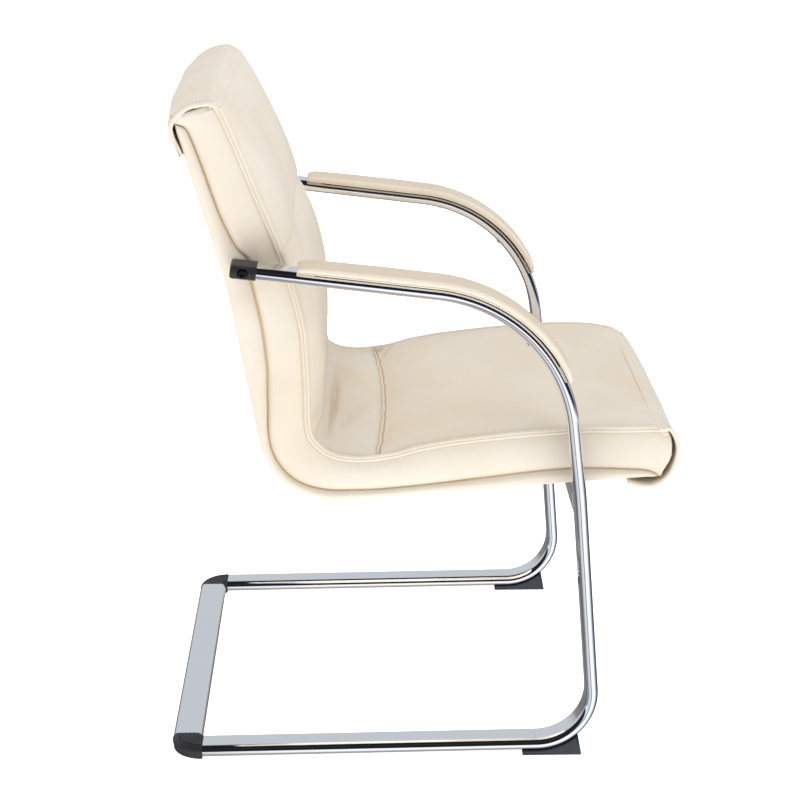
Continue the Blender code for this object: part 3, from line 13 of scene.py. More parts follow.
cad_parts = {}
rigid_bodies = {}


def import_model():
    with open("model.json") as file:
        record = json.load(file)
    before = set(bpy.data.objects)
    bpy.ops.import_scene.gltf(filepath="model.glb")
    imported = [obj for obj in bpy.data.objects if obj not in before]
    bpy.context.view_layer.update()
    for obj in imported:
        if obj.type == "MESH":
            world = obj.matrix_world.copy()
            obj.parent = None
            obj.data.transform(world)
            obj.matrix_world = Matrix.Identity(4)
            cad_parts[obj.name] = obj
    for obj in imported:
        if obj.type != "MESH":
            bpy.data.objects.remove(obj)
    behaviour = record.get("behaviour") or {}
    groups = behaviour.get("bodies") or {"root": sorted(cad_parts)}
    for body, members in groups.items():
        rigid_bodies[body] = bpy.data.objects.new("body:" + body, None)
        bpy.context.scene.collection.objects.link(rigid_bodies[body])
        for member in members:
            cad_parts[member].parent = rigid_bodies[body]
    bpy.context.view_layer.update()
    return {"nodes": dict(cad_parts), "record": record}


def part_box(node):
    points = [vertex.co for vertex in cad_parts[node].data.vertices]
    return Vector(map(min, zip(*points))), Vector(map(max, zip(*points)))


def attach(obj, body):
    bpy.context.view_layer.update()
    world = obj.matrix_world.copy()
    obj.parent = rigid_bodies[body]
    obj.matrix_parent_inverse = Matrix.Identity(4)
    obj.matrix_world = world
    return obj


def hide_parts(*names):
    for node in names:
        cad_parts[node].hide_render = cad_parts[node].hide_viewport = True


bl_info = {
    "name": "Conference Chair Dressing",
    "version": (1, 0, 0),
    "blender": (4, 5, 0),
    "location": "View3D > Sidebar > Chair",
    "description": "Chrome, sewn leather, black fittings and a pale studio for the conference chair",
    "category": "Object",
}

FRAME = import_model()
BODY = "root"
SIDES = (("right", -1), ("left", 1))

# Side frame, corners of its centre line
TOUCH_GAP = 0.0003
RUNNER_REAR_LIFT = 0.001
RUNNER_FRONT_LIFT = 0.0075
FOOT_REACH = 0.526
FOOT_BEND_RADIUS = 0.0735
KNEE = (0.4964, 0.365)
KNEE_BEND_RADIUS = 0.6
ARM_CORNER = (0.4657, 0.62)
ARM_BEND_RADIUS = 0.1988
ARM_BEYOND_BOLT = 0.0125
ELBOW_RADIUS = 0.002
TUBE_WIDTH = 0.04
TUBE_DEPTH = 0.016
TUBE_WALL = 0.0018
BEND_STEP = math.radians(1.2)
BEND_ROOM_SHARE = 0.98

# Seat shell, the line of the plywood's front face from the top of the back to the front of the seat
CREASE = (0.1148, 0.3622)
SEAT_PITCH = math.radians(4.3)
LOWER_RAKE = math.radians(10.1)
UPPER_RAKE = math.radians(16.0)
SEAT_LENGTH = 0.5
LOWER_BACK_LENGTH = 0.289
UPPER_BACK_LENGTH = 0.225
LUMBAR_RADIUS = 0.25
CREASE_RADIUS = 0.0828
COVER_OUTSIDE = 0.0186
COVER_TOP = 0.014
COVER_FRONT = 0.012
COVER_END = 0.012
PLY_EDGE = 0.0163

# Padding, shares of its own sizes against shares of the shell's length
LIP_RISE = 0.0195
LIP_SHARES = ((0.0, -0.92), (0.014, -0.86), (0.0185, -0.44), (0.026, -0.22), (0.036, -0.14),
              (0.059, -0.05), (0.078, 0.0), (0.133, 0.1), (0.16, 0.26), (0.186, 0.52), (0.206, 0.98),
              (0.232, 0.78), (0.283, 0.85), (0.337, 0.7), (0.39, 0.25), (0.445, -0.22), (0.492, -0.28),
              (0.554, -0.08), (0.62, -0.23), (0.699, -0.13), (0.752, 0.0), (0.857, 0.2), (0.91, 0.04),
              (0.95, -0.2), (0.9625, -0.28), (0.974, -0.42), (0.984, -0.66), (0.992, -0.86), (1.0, -0.92))
CUSHION_DEPTH = 0.0695
DEPTH_SHARES = ((0.0, 0.6), (0.03, 0.68), (0.11, 0.79), (0.224, 0.93), (0.305, 1.0), (0.34, 0.945),
                (0.38, 0.87), (0.443, 0.74), (0.5, 0.765), (0.555, 0.71), (0.6, 0.605), (0.636, 0.63),
                (0.676, 0.735), (0.73, 0.81), (0.83, 0.852), (0.893, 0.84), (0.94, 0.79), (1.0, 0.74))
CUSHION_CROWN = 0.0145
CROWN_SHARES = ((0.0, 0.25), (0.07, 0.5), (0.12, 0.78), (0.25, 0.92), (0.34, 1.0), (0.43, 0.75),
                (0.5, 0.25), (0.6, 0.22), (0.7, 0.4), (0.88, 0.34), (1.0, 0.25))
FRONT_FALL = 0.0125
FRONT_FALL_REACH = 0.072
TOP_FALL = 0.005
TOP_FALL_REACH = 0.05
FALL_POWER = 2.2
EDGE_HOLD = 8
CROWN_POWER = 6
BACK_SEAM_SHARE = 0.214
SEAT_SEAM_SHARE = 0.62
SEAT_SEAM_BOW = 0.013
SEAT_SEAM_REACH = 0.055
BACK_SEAM_BOW = -0.022
BACK_SEAM_REACH = 0.11
BACK_SEAM_STRENGTH = 0.55
BACK_SEAM_HIDDEN = 0.1
BACK_SEAM_FADE = 0.7
SEAM_WANDER = 0.0009
SEAM_WANDER_PITCH = 0.045
SEAM_DIP = 0.0055
SEAM_DIP_REACH = 0.012
SEAM_DIP_EASE = 0.35
SEAM_GROOVE = 0.0016
SEAM_GROOVE_REACH = 0.0009
SEAM_RIDGE = 0.0013
SEAM_RIDGE_AWAY = 0.0026
SEAM_RIDGE_REACH = 0.0017
SEAM_STITCH_AWAY = 0.0052
SEAM_STITCH_REACH = 0.0009
SEAM_STITCH_DIP = 0.0012
STITCH_LIFT = 0.0003
PUCKER = 0.0007
PUCKER_REACH = 0.017
PUCKER_PITCH = 0.019
PUCKER_AWAY = 0.009
PUCKER_GAP = 0.003
EDGE_PUCKER_SHARE = 0.8
EDGE_PUCKER_PITCH = 0.023
EDGE_PUCKER_AWAY = 0.007
EDGE_PUCKER_REACH = 0.01
SEAM_LINE_COUNT = 120
WELT_LINE_COUNT = 420
WELT_LINE_GAP = 0.004
WELT_LINE_INSET = 0.0005
BOXING_START = 0.0045
BOXING_INNER_SHARE = 0.5
BOXING_FRONT_GAP = 0.001
BOXING_SWELL = 0.0005
BOXING_SWELL_PITCH = 0.028
BOXING_SWELL_COLUMNS = range(3, 9)
FACE_INSET = 0.0105
VALLEY = 0.0026
VALLEY_REACH = 0.0085
END_TUCK = 0.005
END_TUCK_REACH = 0.0065
COVERED_GAP = 0.0001
LIP_CLEARANCE = 0.0004
FACE_CROWDING = 0.35
FRONT_BULGE = ((-0.014, -0.008), (-0.006, -0.003), (0.002, 0.003), (0.012, 0.007), (0.03, 0.008),
               (0.04, 0.0045), (0.048, 0.0))
FRONT_BULGE_REACH = 0.03

# Half section of the boxing and its welt, in pairs that begin with the inset from the roll's side: the
# lowest columns by height over the roll's seam, the next by share of the way up, the welt's by depth below
# the face
BOXING_LOW = ((0.0056, -0.0012), (0.0046, 0.0003), (0.0032, 0.0016))
BOXING_BULGE = ((0.0018, 0.12), (0.0011, 0.21), (0.0007, 0.32), (0.0008, 0.44), (0.0015, 0.56),
                (0.0028, 0.68))
WELT = ((0.005, 0.0112), (0.006, 0.0096), (0.006, 0.0086), (0.0048, 0.0079), (0.0037, 0.0068),
        (0.0034, 0.0056), (0.004, 0.0047), (0.0046, 0.0044), (0.004, 0.004), (0.0036, 0.003),
        (0.004, 0.0015), (0.005, 0.0004), (0.0064, 0.0), (0.0078, 0.0005), (0.009, 0.0014))

# Folds pressed into the face: share along the shell, share across, turn from straight across,
# half length, half width and depth
FACE_FOLDS = ((0.548, -0.1, 0.05, 0.11, 0.015, 0.006),
              (0.535, -0.55, 0.12, 0.06, 0.009, 0.003),
              (0.58, -0.52, 0.26, 0.042, 0.007, 0.0024),
              (0.59, -0.3, 0.42, 0.026, 0.005, 0.0014),
              (0.6, -0.38, 1.5, 0.009, 0.003, 0.0014),
              (0.575, 0.35, -0.12, 0.06, 0.009, 0.0018),
              (0.637, 0.88, 0.36, 0.034, 0.0055, 0.0034),
              (0.626, 0.97, 0.1, 0.014, 0.007, 0.0032),
              (0.652, 0.7, 0.2, 0.04, 0.008, -0.0012),
              (0.606, 0.9, -0.4, 0.02, 0.005, 0.0022),
              (0.424, 0.8, 0.06, 0.06, 0.003, 0.0034),
              (0.431, 0.82, 0.02, 0.05, 0.003, -0.0026),
              (0.438, 0.8, -0.04, 0.06, 0.0028, 0.0036),
              (0.446, 0.8, 0.03, 0.05, 0.0034, -0.003),
              (0.454, 0.82, 0.05, 0.06, 0.0034, 0.0034),
              (0.466, 0.8, 0.0, 0.06, 0.008, -0.004),
              (0.484, 0.92, 0.15, 0.03, 0.006, 0.0028),
              (0.5, 0.8, 0.3, 0.04, 0.008, 0.002),
              (0.43, -0.9, 0.1, 0.024, 0.004, 0.0018),
              (0.455, -0.82, -0.3, 0.04, 0.008, 0.0022),
              (0.236, 0.72, 0.25, 0.03, 0.008, 0.0012),
              (0.226, -0.55, -0.2, 0.034, 0.008, 0.0012))
# Painted shade in the pressed folds: darkness for each metre of a fold's depth, and the most it may be
FOLD_SHADE = 95.0
FOLD_SHADE_MOST = 0.42

# Pinch of the boxing beside the arm joint, by column of the half section, and painted shade on the pinched
# boxing;
# the painted shade of the creases, by column from the cushion's edge, partly the dark dye of the sewn edge
# at the roll's seam
PINCH_SHARE = 0.196
PINCH_REACH = 0.026
PINCH = 0.0052
PINCH_COLUMNS = {3: 0.2, 4: 0.4, 5: 0.65, 6: 0.85, 7: 1.0, 8: 1.0, 9: 0.55, 10: 0.35, 11: 0.3, 12: 0.2}
# Painted shade on the pinched boxing, and the columns that take it
PINCH_SHADE = 0.3
PINCH_SHADE_COLUMNS = (slice(6, 14), slice(-14, -6))
# Painted shade of the creases: the roll's seam (partly the dark dye of its sewn edge), the hollow under the
# welt, the welt's middle line and the valley beside it
CREASE_DYE_AND_SHADE_COLUMNS = {2: 1.0, 3: 0.8, 4: 0.25, 12: 0.35, 13: 0.35, 19: 0.45, 25: 0.3, 26: 0.22, 27: 0.15}
# Painted shade along each cross seam's join and its stitch line, and how far it reaches
SEAM_SHADE = 0.7
SEAM_STITCH_SHADE = 0.6
SEAM_SHADE_REACH = 0.001

# Rear cover: its flat columns as shares of its half width, and its edge roll
COVER_COLUMNS = ((0.45, 0.0), (0.8, 0.0), (0.9, 0.0003))
ROLL_FIRST_TURN = -84
ROLL_LAST_TURN = 62
ROLL_COLUMNS = 19
ROLL_DEPTH = 0.0165
ROLL_FULLNESS = 0.8
ROLL_END_DRAW = 0.008
ROLL_WOBBLES = ((0.0006, 0.035, 3), (0.0003, 0.013, 4))
ROLL_LIP = ((0.0062, 0.955), (0.008, 0.9))
# Painted shade in the crease of the roll's seam, partly the dark dye of its sewn edge
ROLL_SEAM_DYE_AND_SHADE = 0.8
COVER_RECESS_SHARES = (0.7, 0.6)
COVER_RECESS_FLOOR = -0.0123

# Covers that wrap over the two ends of the cushion: rows of (past the shell's end, depth) at the side
# edges and in the middle; their first rows lie on the cushion's face
WRAP_SKIN = 0.0056
HOOD_START = 0.01
HOOD_EDGE = ((-0.007, 0.039), (-0.0025, 0.0372), (0.0005, 0.033), (0.002, 0.0268), (0.003, 0.0185),
             (0.0038, 0.0081), (0.0022, 0.0), (-0.0018, -0.0095), (-0.0075, -0.019), (-0.0163, -0.0258),
             (-0.0307, -0.0273), (-0.0447, -0.0254), (-0.054, -0.0244))
HOOD_MIDDLE = ((-0.005, 0.0395), (0.0018, 0.0377), (0.0072, 0.0345), (0.0114, 0.0285), (0.0143, 0.018),
               (0.0154, 0.006), (0.0142, -0.0068), (0.01, -0.018), (0.0002, -0.0285), (-0.014, -0.0332),
               (-0.0305, -0.0325), (-0.045, -0.0297), (-0.0545, -0.027))
HOOD_FAR = ((-0.0065, 0.0343), (-0.0025, 0.0325), (0.001, 0.0285), (0.0032, 0.023), (0.0046, 0.016),
            (0.0052, 0.0075), (0.004, -0.0015), (0.0004, -0.0115), (-0.006, -0.0215), (-0.0155, -0.028),
            (-0.0305, -0.0295), (-0.0447, -0.027), (-0.054, -0.025))
NOSE_START = 0.01
NOSE_EDGE = ((-0.0035, 0.0518), (0.004, 0.05), (0.0102, 0.0432), (0.0145, 0.033), (0.0162, 0.024),
             (0.016, 0.015), (0.0125, 0.001), (0.006, -0.013), (-0.002, -0.0225), (-0.0115, -0.0285),
             (-0.0249, -0.0322), (-0.0378, -0.0306), (-0.0534, -0.025))
NOSE_MIDDLE = ((-0.0035, 0.0425), (0.0035, 0.0395), (0.0094, 0.0343), (0.0145, 0.027), (0.0182, 0.019),
               (0.0195, 0.01), (0.0165, -0.002), (0.0088, -0.014), (0.0, -0.0232), (-0.011, -0.0292),
               (-0.0249, -0.0324), (-0.0378, -0.0306), (-0.0534, -0.0248))
NOSE_FAR = ((-0.0035, 0.036), (0.0025, 0.033), (0.0075, 0.028), (0.012, 0.022), (0.015, 0.0155),
            (0.0165, 0.008), (0.0145, -0.003), (0.0078, -0.0145), (-0.001, -0.0232), (-0.0115, -0.0289),
            (-0.0249, -0.0322), (-0.0378, -0.0306), (-0.0534, -0.025))
HOOD_POWER = 2.4
NOSE_POWER = 4
HEM_ROUNDING = 0.0024
HEM_STITCH_INSET = 0.006
WRAP_OVERHANG = 0.0006
WRAP_LEAD = 0.0015
WRAP_SINK = 0.0005
WRAP_COUNT = 76
WRAP_FADE_COUNT = 14.0
WRAP_WOBBLE = 0.0008
WRAP_WOBBLE_PITCH = 0.045
WRAP_INSIDE = (-0.02, 0.02)
WRAP_TEST_ROW = 20
HEM_BULGE = 0.35
HEM_LINE_COUNT = 60
HEM_LINE_POINT = -9
HEM_SIDE_LINE = slice(8, -4)

# Arm joint and arm pads
ARM_BOLT_HEIGHT = 0.6652
ARM_BOLT_STANDOFF = 0.0125
CAP_WALL = 0.0008
CAP_OUTER_WALL = 0.0022
CAP_LENGTH = 0.0325
CAP_END_WALL = 0.003
CAP_ROUNDING = 0.0045
CAP_ROUNDING_SHARE = 0.55
CAP_ROUND_COUNT = 8
CAP_GROOVE_DEPTH = 0.0004
CAP_GROOVE_HALF = 0.0006
CAP_GROOVE_FLOOR = 0.0002
CAP_LIP_LENGTH = 0.0006
CAP_LIP_DEPTH = 0.0005
CAP_REACH_IN = 0.004
CUT_EXTRA = 0.001
CAP_RECESS_RADIUS = 0.0071
CAP_GROOVES = (0.83, 0.89)
BOLT_HEAD_RADIUS = 0.0064
BOLT_HEAD_HEIGHT = 0.0028
BOLT_HEAD_RIM = 0.0004
BOLT_HEAD_FLAT = 0.0008
BOLT_HEAD_FIRST_TURN = 0.1
BOLT_HEAD_COUNT = 7
BOLT_SHANK_RADIUS = 0.0039
BOLT_REACH = 0.067
HEX_KEY_RADIUS = 0.0029
HEX_KEY_DEPTH = 0.002
PAD_START = 0.0785
PAD_LENGTH = 0.382
PAD_WIDTH = 0.049
PAD_STEP = 0.004
PAD_END_HEIGHT = 0.45
PAD_END_HEIGHT_POWER = 0.7
PAD_END_WIDTH = 0.86
PAD_END_WIDTH_POWER = 0.6
PAD_HEM_LEVEL = 0.1
PAD_WOBBLE = 0.0004
PAD_WOBBLE_PITCH = 0.018
PAD_COLUMNS = 44
# Painted shade on the pads: dark lines in their creases by the hem and below the crown, as (level,
# darkness), and a darker top above a level, where the top lies in shade
PAD_CREASE_SHADES = ((0.1, 0.5), (0.2, 0.9), (0.84, 0.6))
PAD_CROWN_LEVEL = 0.84
PAD_CROWN_SHADE = 0.36
PAD_HEIGHT = 0.0118
PAD_HEIGHT_SHARES = ((0.0, 0.62), (0.03, 0.8), (0.09, 0.9), (0.35, 1.0), (0.6, 0.98), (0.85, 0.88),
                     (0.96, 0.76), (1.0, 0.58))
PAD_SECTION_SHARES = ((0.8, 0.02), (0.93, 0.0), (1.0, 0.07), (1.005, 0.16), (0.975, 0.235), (0.985, 0.3),
                      (1.0, 0.44), (0.985, 0.62), (0.935, 0.77), (0.885, 0.835), (0.84, 0.845), (0.74, 0.9),
                      (0.45, 0.975), (0.0, 1.0))
PAD_END_ROUND = 0.011

# Floor fittings
ELBOW_PROUD = 0.0006
ELBOW_RIBS = 5
ELBOW_GROOVE_DEPTH = 0.0011
ELBOW_RIB = ((0.0, 1.0), (0.12, 0.25), (0.25, 0.0), (0.75, 0.0), (0.88, 0.25))
ELBOW_FOOT_INSET = 0.0012
ELBOW_SKIRT_INSET = 0.0004
ELBOW_FOOT_TOP = 0.6
ELBOW_SKIRT_TOP = 0.3
ELBOW_ROUND_COUNT = 9
ELBOW_STEPS = 25
GLIDE_WIDTH = 0.039
GLIDE_REAR = 0.4285
GLIDE_FRONT = 0.5075
GLIDE_ROUNDING = 0.0012
GLIDE_STEP = 0.006
GLIDE_TOP = 0.0285
GLIDE_NOSE = 0.012
GLIDE_LINE_COUNT = 1500
GLIDE_LINE_SKIP = 6
SCREW_RECESS_RADIUS = 0.004
SCREW_RECESS_BELOW = 0.002

# Sizes and rates of the waves in a seeded wave
WAVES = ((1.0, 1.0), (0.6, 0.61), (0.4, 1.73))

# Mesh fineness
ALONG_STEP = 0.0045
ACROSS_STEP = 0.0045
SEAM_STEPS = (0.0, 0.0004, 0.0008, 0.0013, 0.0018, 0.0024, 0.0031, 0.0039, 0.0047, 0.0055, 0.0064, 0.0076,
              0.0095, 0.012, 0.0155)
ROUND_STEPS = 7
OVAL_ROUND_COUNT = 14
TURNED_STEPS = 48
TURNED_SHARP_DEGREES = 28
MERGE_DISTANCE = 0.00002
STITCH_SEGMENTS = 6
STITCH_RINGS = 5
TINY = 1e-9
TUBE_ROUND_COUNT = 20
SHARP_ANGLE = math.radians(42)

# Cloth
SIM_STEP = 0.0095
SIM_FRAMES = 20
SIM_CAP = 0.0055
SIM_MARGIN = 0.016
SIM_FREE_END_SHARE = 0.6
SIM_SETTINGS = {"quality": 6, "mass": 0.35, "tension_stiffness": 18.0, "compression_stiffness": 18.0,
                "bending_stiffness": 2.0, "shrink_min": -0.012, "use_pressure": True,
                "uniform_pressure_force": 4.0}

# Studio floor and lights, and the camera from the perspective of the photograph
FLOOR_REACH = 30.0
LIGHT_TARGET = (0.0, 0.0, 0.45)
LIGHTS = (("key", (-2.2, -1.6, 2.6), 1.6, (0.87, 0.94, 1.0)),
          ("top", (0.3, 0.2, 3.0), 2.2, (1.0, 0.96, 0.91)),
          ("front", (0.3, -3.0, 1.5), 1.6, (1.0, 0.97, 0.93)))
CAMERA_DISTANCE = 2.576
CAMERA_FORWARD = 0.213
CAMERA_HEIGHT = 1.269
CAMERA_ELEVATION = math.radians(18.5)
CAMERA_AZIMUTH = math.radians(1.28)
CAMERA_LENS = 86.49
CAMERA_SENSOR = 36.0
CAMERA_CLIP = (0.05, 60.0)


# Sizes and colours that a user would change

class TubeSizes(bpy.types.PropertyGroup):
    """Flat-oval tube of the frame."""
    width: FloatProperty(name="Tube Width", description="Width of the flat-oval tube", default=TUBE_WIDTH,
                         unit="LENGTH")
    depth: FloatProperty(name="Tube Depth", description="Depth of the flat-oval tube", default=TUBE_DEPTH,
                         unit="LENGTH")
    wall: FloatProperty(name="Tube Wall", description="Wall of the flat-oval tube", default=TUBE_WALL,
                        unit="LENGTH")


class SewingSizes(bpy.types.PropertyGroup):
    """Stitches of the padding."""
    stitch_pitch: FloatProperty(name="Stitch Pitch", description="Distance from stitch to stitch",
                                default=0.0048, unit="LENGTH")
    stitch_length: FloatProperty(name="Stitch Length", description="Length of thread that shows",
                                 default=0.0034, unit="LENGTH")
    thread: FloatProperty(name="Thread", description="Thickness of the sewing thread", default=0.0008,
                          unit="LENGTH")


class Finishes(bpy.types.PropertyGroup):
    """Base colours of the chair's materials."""
    leather: FloatVectorProperty(name="Leather", description="Cream leather", subtype="COLOR",
                                 default=(0.84, 0.77, 0.668))
    thread: FloatVectorProperty(name="Thread", description="Sewing thread", subtype="COLOR",
                                default=(0.79, 0.70, 0.57))
    chrome: FloatVectorProperty(name="Chrome", description="Chrome plating", subtype="COLOR",
                                default=(0.90, 0.91, 0.93))
    zinc: FloatVectorProperty(name="Zinc", description="Zinc-plated steel", subtype="COLOR",
                              default=(0.55, 0.56, 0.58))
    plastic: FloatVectorProperty(name="Plastic", description="Black plastic", subtype="COLOR",
                                 default=(0.022, 0.022, 0.024))
    rubber: FloatVectorProperty(name="Rubber", description="Dark rubber", subtype="COLOR",
                                default=(0.030, 0.036, 0.048))
    plywood: FloatVectorProperty(name="Plywood", description="Bent plywood", subtype="COLOR",
                                 default=(0.55, 0.38, 0.22))


class StudioValues(bpy.types.PropertyGroup):
    """Light of the pale studio."""
    key: FloatProperty(name="Key Light", description="Power of the large light by the camera", default=8.5,
                       unit="POWER")
    top: FloatProperty(name="Top Light", description="Power of the overhead light", default=20.5,
                       unit="POWER")
    front: FloatProperty(name="Front Light", description="Power of the light before the seat", default=6.0,
                         unit="POWER")
    ambient: FloatProperty(name="Ambient", description="Strength of the soft light from all round",
                           default=0.70)
    floor_glow: FloatProperty(name="Floor Glow", description="How far the floor is lifted towards white",
                              default=0.95)


# Curves and tables

def curved(part, width, low, high, low_slope, high_slope):
    """Cubic part way between two values that are a width apart, with a slope at each."""
    rest = 1 - part
    return ((1 + 2 * part) * rest ** 2 * low + part * rest ** 2 * width * low_slope
            + part ** 2 * (3 - 2 * part) * high - part ** 2 * rest * width * high_slope)


def smooth_read(pairs, values):
    """Read a table of (place, value) pairs with a smooth curve that never overshoots its rows."""
    places, heights = np.array(pairs, float).T
    width = np.diff(places)
    slope = np.diff(heights) / width
    tangent = np.zeros(len(places))
    together = slope[:-1] * slope[1:] > 0
    total = np.where(together, slope[:-1] + slope[1:], 1.0)
    tangent[1:-1] = np.where(together, 2 * slope[:-1] * slope[1:] / total, 0.0)
    tangent[0], tangent[-1] = slope[0], slope[-1]
    inside = np.clip(values, places[0], places[-1])
    row = np.clip(np.searchsorted(places, inside, side="right") - 1, 0, len(width) - 1)
    part = (inside - places[row]) / width[row]
    return curved(part, width[row], heights[row], heights[row + 1], tangent[row], tangent[row + 1])


def through(points, places):
    """Smooth path through rows of points, read at places that run from 0 to 1 along it."""
    chord = np.linalg.norm(np.diff(points, axis=0), axis=-1)
    marks = np.concatenate(([0.0], np.cumsum(chord)))
    marks /= marks[-1]
    tangent = np.gradient(points, marks, axis=0)
    row = np.clip(np.searchsorted(marks, places, side="right") - 1, 0, len(marks) - 2)
    width = (marks[row + 1] - marks[row])[:, None]
    part = (places - marks[row])[:, None] / width
    return curved(part, width, points[row], points[row + 1], tangent[row], tangent[row + 1])


def rounded_stops(low, high, spacing, radius, round_low=True, round_high=True):
    """Stops from low to high with a quarter round at the ends, and how full the form is at each."""
    turn = np.linspace(0.0, math.pi / 2, ROUND_STEPS + 1)[:-1]
    start = low + (radius if round_low else 0.0)
    end = high - (radius if round_high else 0.0)
    count = max(2, math.ceil((end - start) / spacing) + 1)
    stops = [np.linspace(start, end, count)]
    full = [np.ones(count)]
    if round_low:
        stops.insert(0, low + radius * (1 - np.cos(turn)))
        full.insert(0, np.sin(turn))
    if round_high:
        stops.append(high - radius * (1 - np.cos(turn[::-1])))
        full.append(np.sin(turn[::-1]))
    return np.concatenate(stops), np.concatenate(full)


def bent_points(corners, radii):
    """Points of straight runs joined by fine arcs, one radius for each inner corner."""
    corners = [Vector(corner) for corner in corners]
    turns = [(corner - before).angle_signed(after - corner)
             for before, corner, after in zip(corners, corners[1:], corners[2:])]
    reaches = [0.0] + [radius * math.tan(abs(turn) / 2) for radius, turn in zip(radii, turns)] + [0.0]
    for index, (before, after) in enumerate(zip(corners, corners[1:])):
        used = reaches[index] + reaches[index + 1]
        limit = (after - before).length * BEND_ROOM_SHARE
        if used > limit:
            reaches[index] *= limit / used
            reaches[index + 1] *= limit / used
    path = [corners[0]]
    for index, turn in enumerate(turns):
        corner = corners[index + 1]
        inward = (corner - corners[index]).normalized()
        radius = reaches[index + 1] / math.tan(abs(turn) / 2)
        start = corner - inward * reaches[index + 1]
        centre = start + Vector((-inward.y, inward.x)) * radius * (1 if turn < 0 else -1)
        count = max(2, math.ceil(abs(turn) / BEND_STEP))
        for number in range(count + 1):
            path.append(centre + Matrix.Rotation(-turn * number / count, 2) @ (start - centre))
    path.append(corners[-1])
    return np.array([tuple(point) for point in path])


class Line:
    """Side-view line that is read by the distance along it, straight on past both ends."""

    def __init__(self, points):
        self.points = points
        edges = np.diff(points, axis=0)
        lengths = np.linalg.norm(edges, axis=1)
        self.marks = np.concatenate(([0.0], np.cumsum(lengths)))
        self.length = self.marks[-1]
        runs = edges / lengths[:, None]
        joined = np.vstack((runs[:1], runs[:-1] + runs[1:], runs[-1:]))
        self.directions = joined / np.linalg.norm(joined, axis=1)[:, None]

    def place(self, distance, offset=0.0):
        """Side-view points at distances along the line, moved to the left of travel by offsets."""
        distance, offset = np.broadcast_arrays(np.asarray(distance, float), np.asarray(offset, float))
        inside = np.clip(distance, 0.0, self.length)
        middle = [np.interp(inside, self.marks, self.points[:, axis]) for axis in (0, 1)]
        run = [np.interp(inside, self.marks, self.directions[:, axis]) for axis in (0, 1)]
        size = np.hypot(*run)
        along, up = run[0] / size, run[1] / size
        past = distance - inside
        return np.stack((middle[0] + along * past - up * offset, middle[1] + up * past + along * offset), -1)

    def distance_at_height(self, height):
        """Distance along a falling line at which it passes a height."""
        heights = self.points[:, 1]
        index = int(np.argmax(heights <= height))
        part = (heights[index - 1] - height) / (heights[index - 1] - heights[index])
        return self.marks[index - 1] + (self.marks[index] - self.marks[index - 1]) * part


def shell_line():
    """Front face of the plywood, from the top end of the cushion to its front end."""
    crease = Vector(CREASE)
    knee = crease + Vector((-math.sin(LOWER_RAKE), math.cos(LOWER_RAKE))) * LOWER_BACK_LENGTH
    top = knee + Vector((-math.sin(UPPER_RAKE), math.cos(UPPER_RAKE))) * UPPER_BACK_LENGTH
    front = crease + Vector((math.cos(SEAT_PITCH), math.sin(SEAT_PITCH))) * SEAT_LENGTH
    return Line(bent_points((top, knee, crease, front), (LUMBAR_RADIUS, CREASE_RADIUS)))


def middle_of(node, axis):
    low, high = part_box(node)
    return (low[axis] + high[axis]) / 2


SHELL = shell_line()
ELBOW_MIDDLE = ELBOW_RADIUS + TUBE_WIDTH / 2
CHAIR_Y = middle_of("rear_crossbar", 1) - ELBOW_MIDDLE
FRAME_HALF = middle_of("side_frame_left", 0)
ROLL_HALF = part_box("rear_cover")[1].x
FACE_HALF = ROLL_HALF - FACE_INSET
BOXING_END = SHELL.length - BOXING_FRONT_GAP
BACK_SEAM = SHELL.length * BACK_SEAM_SHARE
SEAT_SEAM = SHELL.length * SEAT_SEAM_SHARE
ARM_BOLT = Vector(SHELL.place(SHELL.distance_at_height(ARM_BOLT_HEIGHT), ARM_BOLT_STANDOFF))
ARM_RUN = (Vector(ARM_CORNER) - ARM_BOLT).normalized()


def world(side, across):
    """Points of the chair from side-view points and distances across it."""
    across = np.broadcast_to(across, side.shape[:-1])
    return np.stack((across, CHAIR_Y - side[..., 0], side[..., 1]), -1)


def frame_line(tube):
    """Centre line of a side frame, from the arm's rear end to the runner's rear end."""
    arm_rear = ARM_BOLT - ARM_RUN * ARM_BEYOND_BOLT
    foot = (FOOT_REACH, RUNNER_FRONT_LIFT + tube.depth / 2)
    rear = (TOUCH_GAP, RUNNER_REAR_LIFT + tube.depth / 2)
    return Line(bent_points((arm_rear, ARM_CORNER, KNEE, foot, rear),
                            (ARM_BEND_RADIUS, KNEE_BEND_RADIUS, FOOT_BEND_RADIUS)))


# Meshes

def grid_faces(rows, columns, around=True):
    """Quads of a grid of points; around joins each row's last point to its first."""
    index = np.arange(rows * columns).reshape(rows, columns)
    if around:
        index = np.hstack((index, index[:, :1]))
    quads = np.stack((index[:-1, :-1], index[:-1, 1:], index[1:, 1:], index[1:, :-1]), axis=-1)
    return quads.reshape(-1, 4).tolist()


def capped_grid(grid, flat_ends=False):
    """Points and faces of a closed loft through a grid's rows, with a fan or one flat face on each end."""
    rows, columns = grid.shape[:2]
    points = grid.reshape(-1, 3)
    faces = grid_faces(rows, columns)
    if flat_ends:
        last = (rows - 1) * columns
        return points, faces + [tuple(range(columns))[::-1], tuple(range(last, last + columns))]
    hubs = np.array([grid[0].mean(axis=0), grid[-1].mean(axis=0)])
    for hub, first in ((len(points), 0), (len(points) + 1, (rows - 1) * columns)):
        ring = list(range(first, first + columns))
        faces += [(ring[index - 1], ring[index], hub) for index in range(columns)]
    return np.vstack((points, hubs)), faces


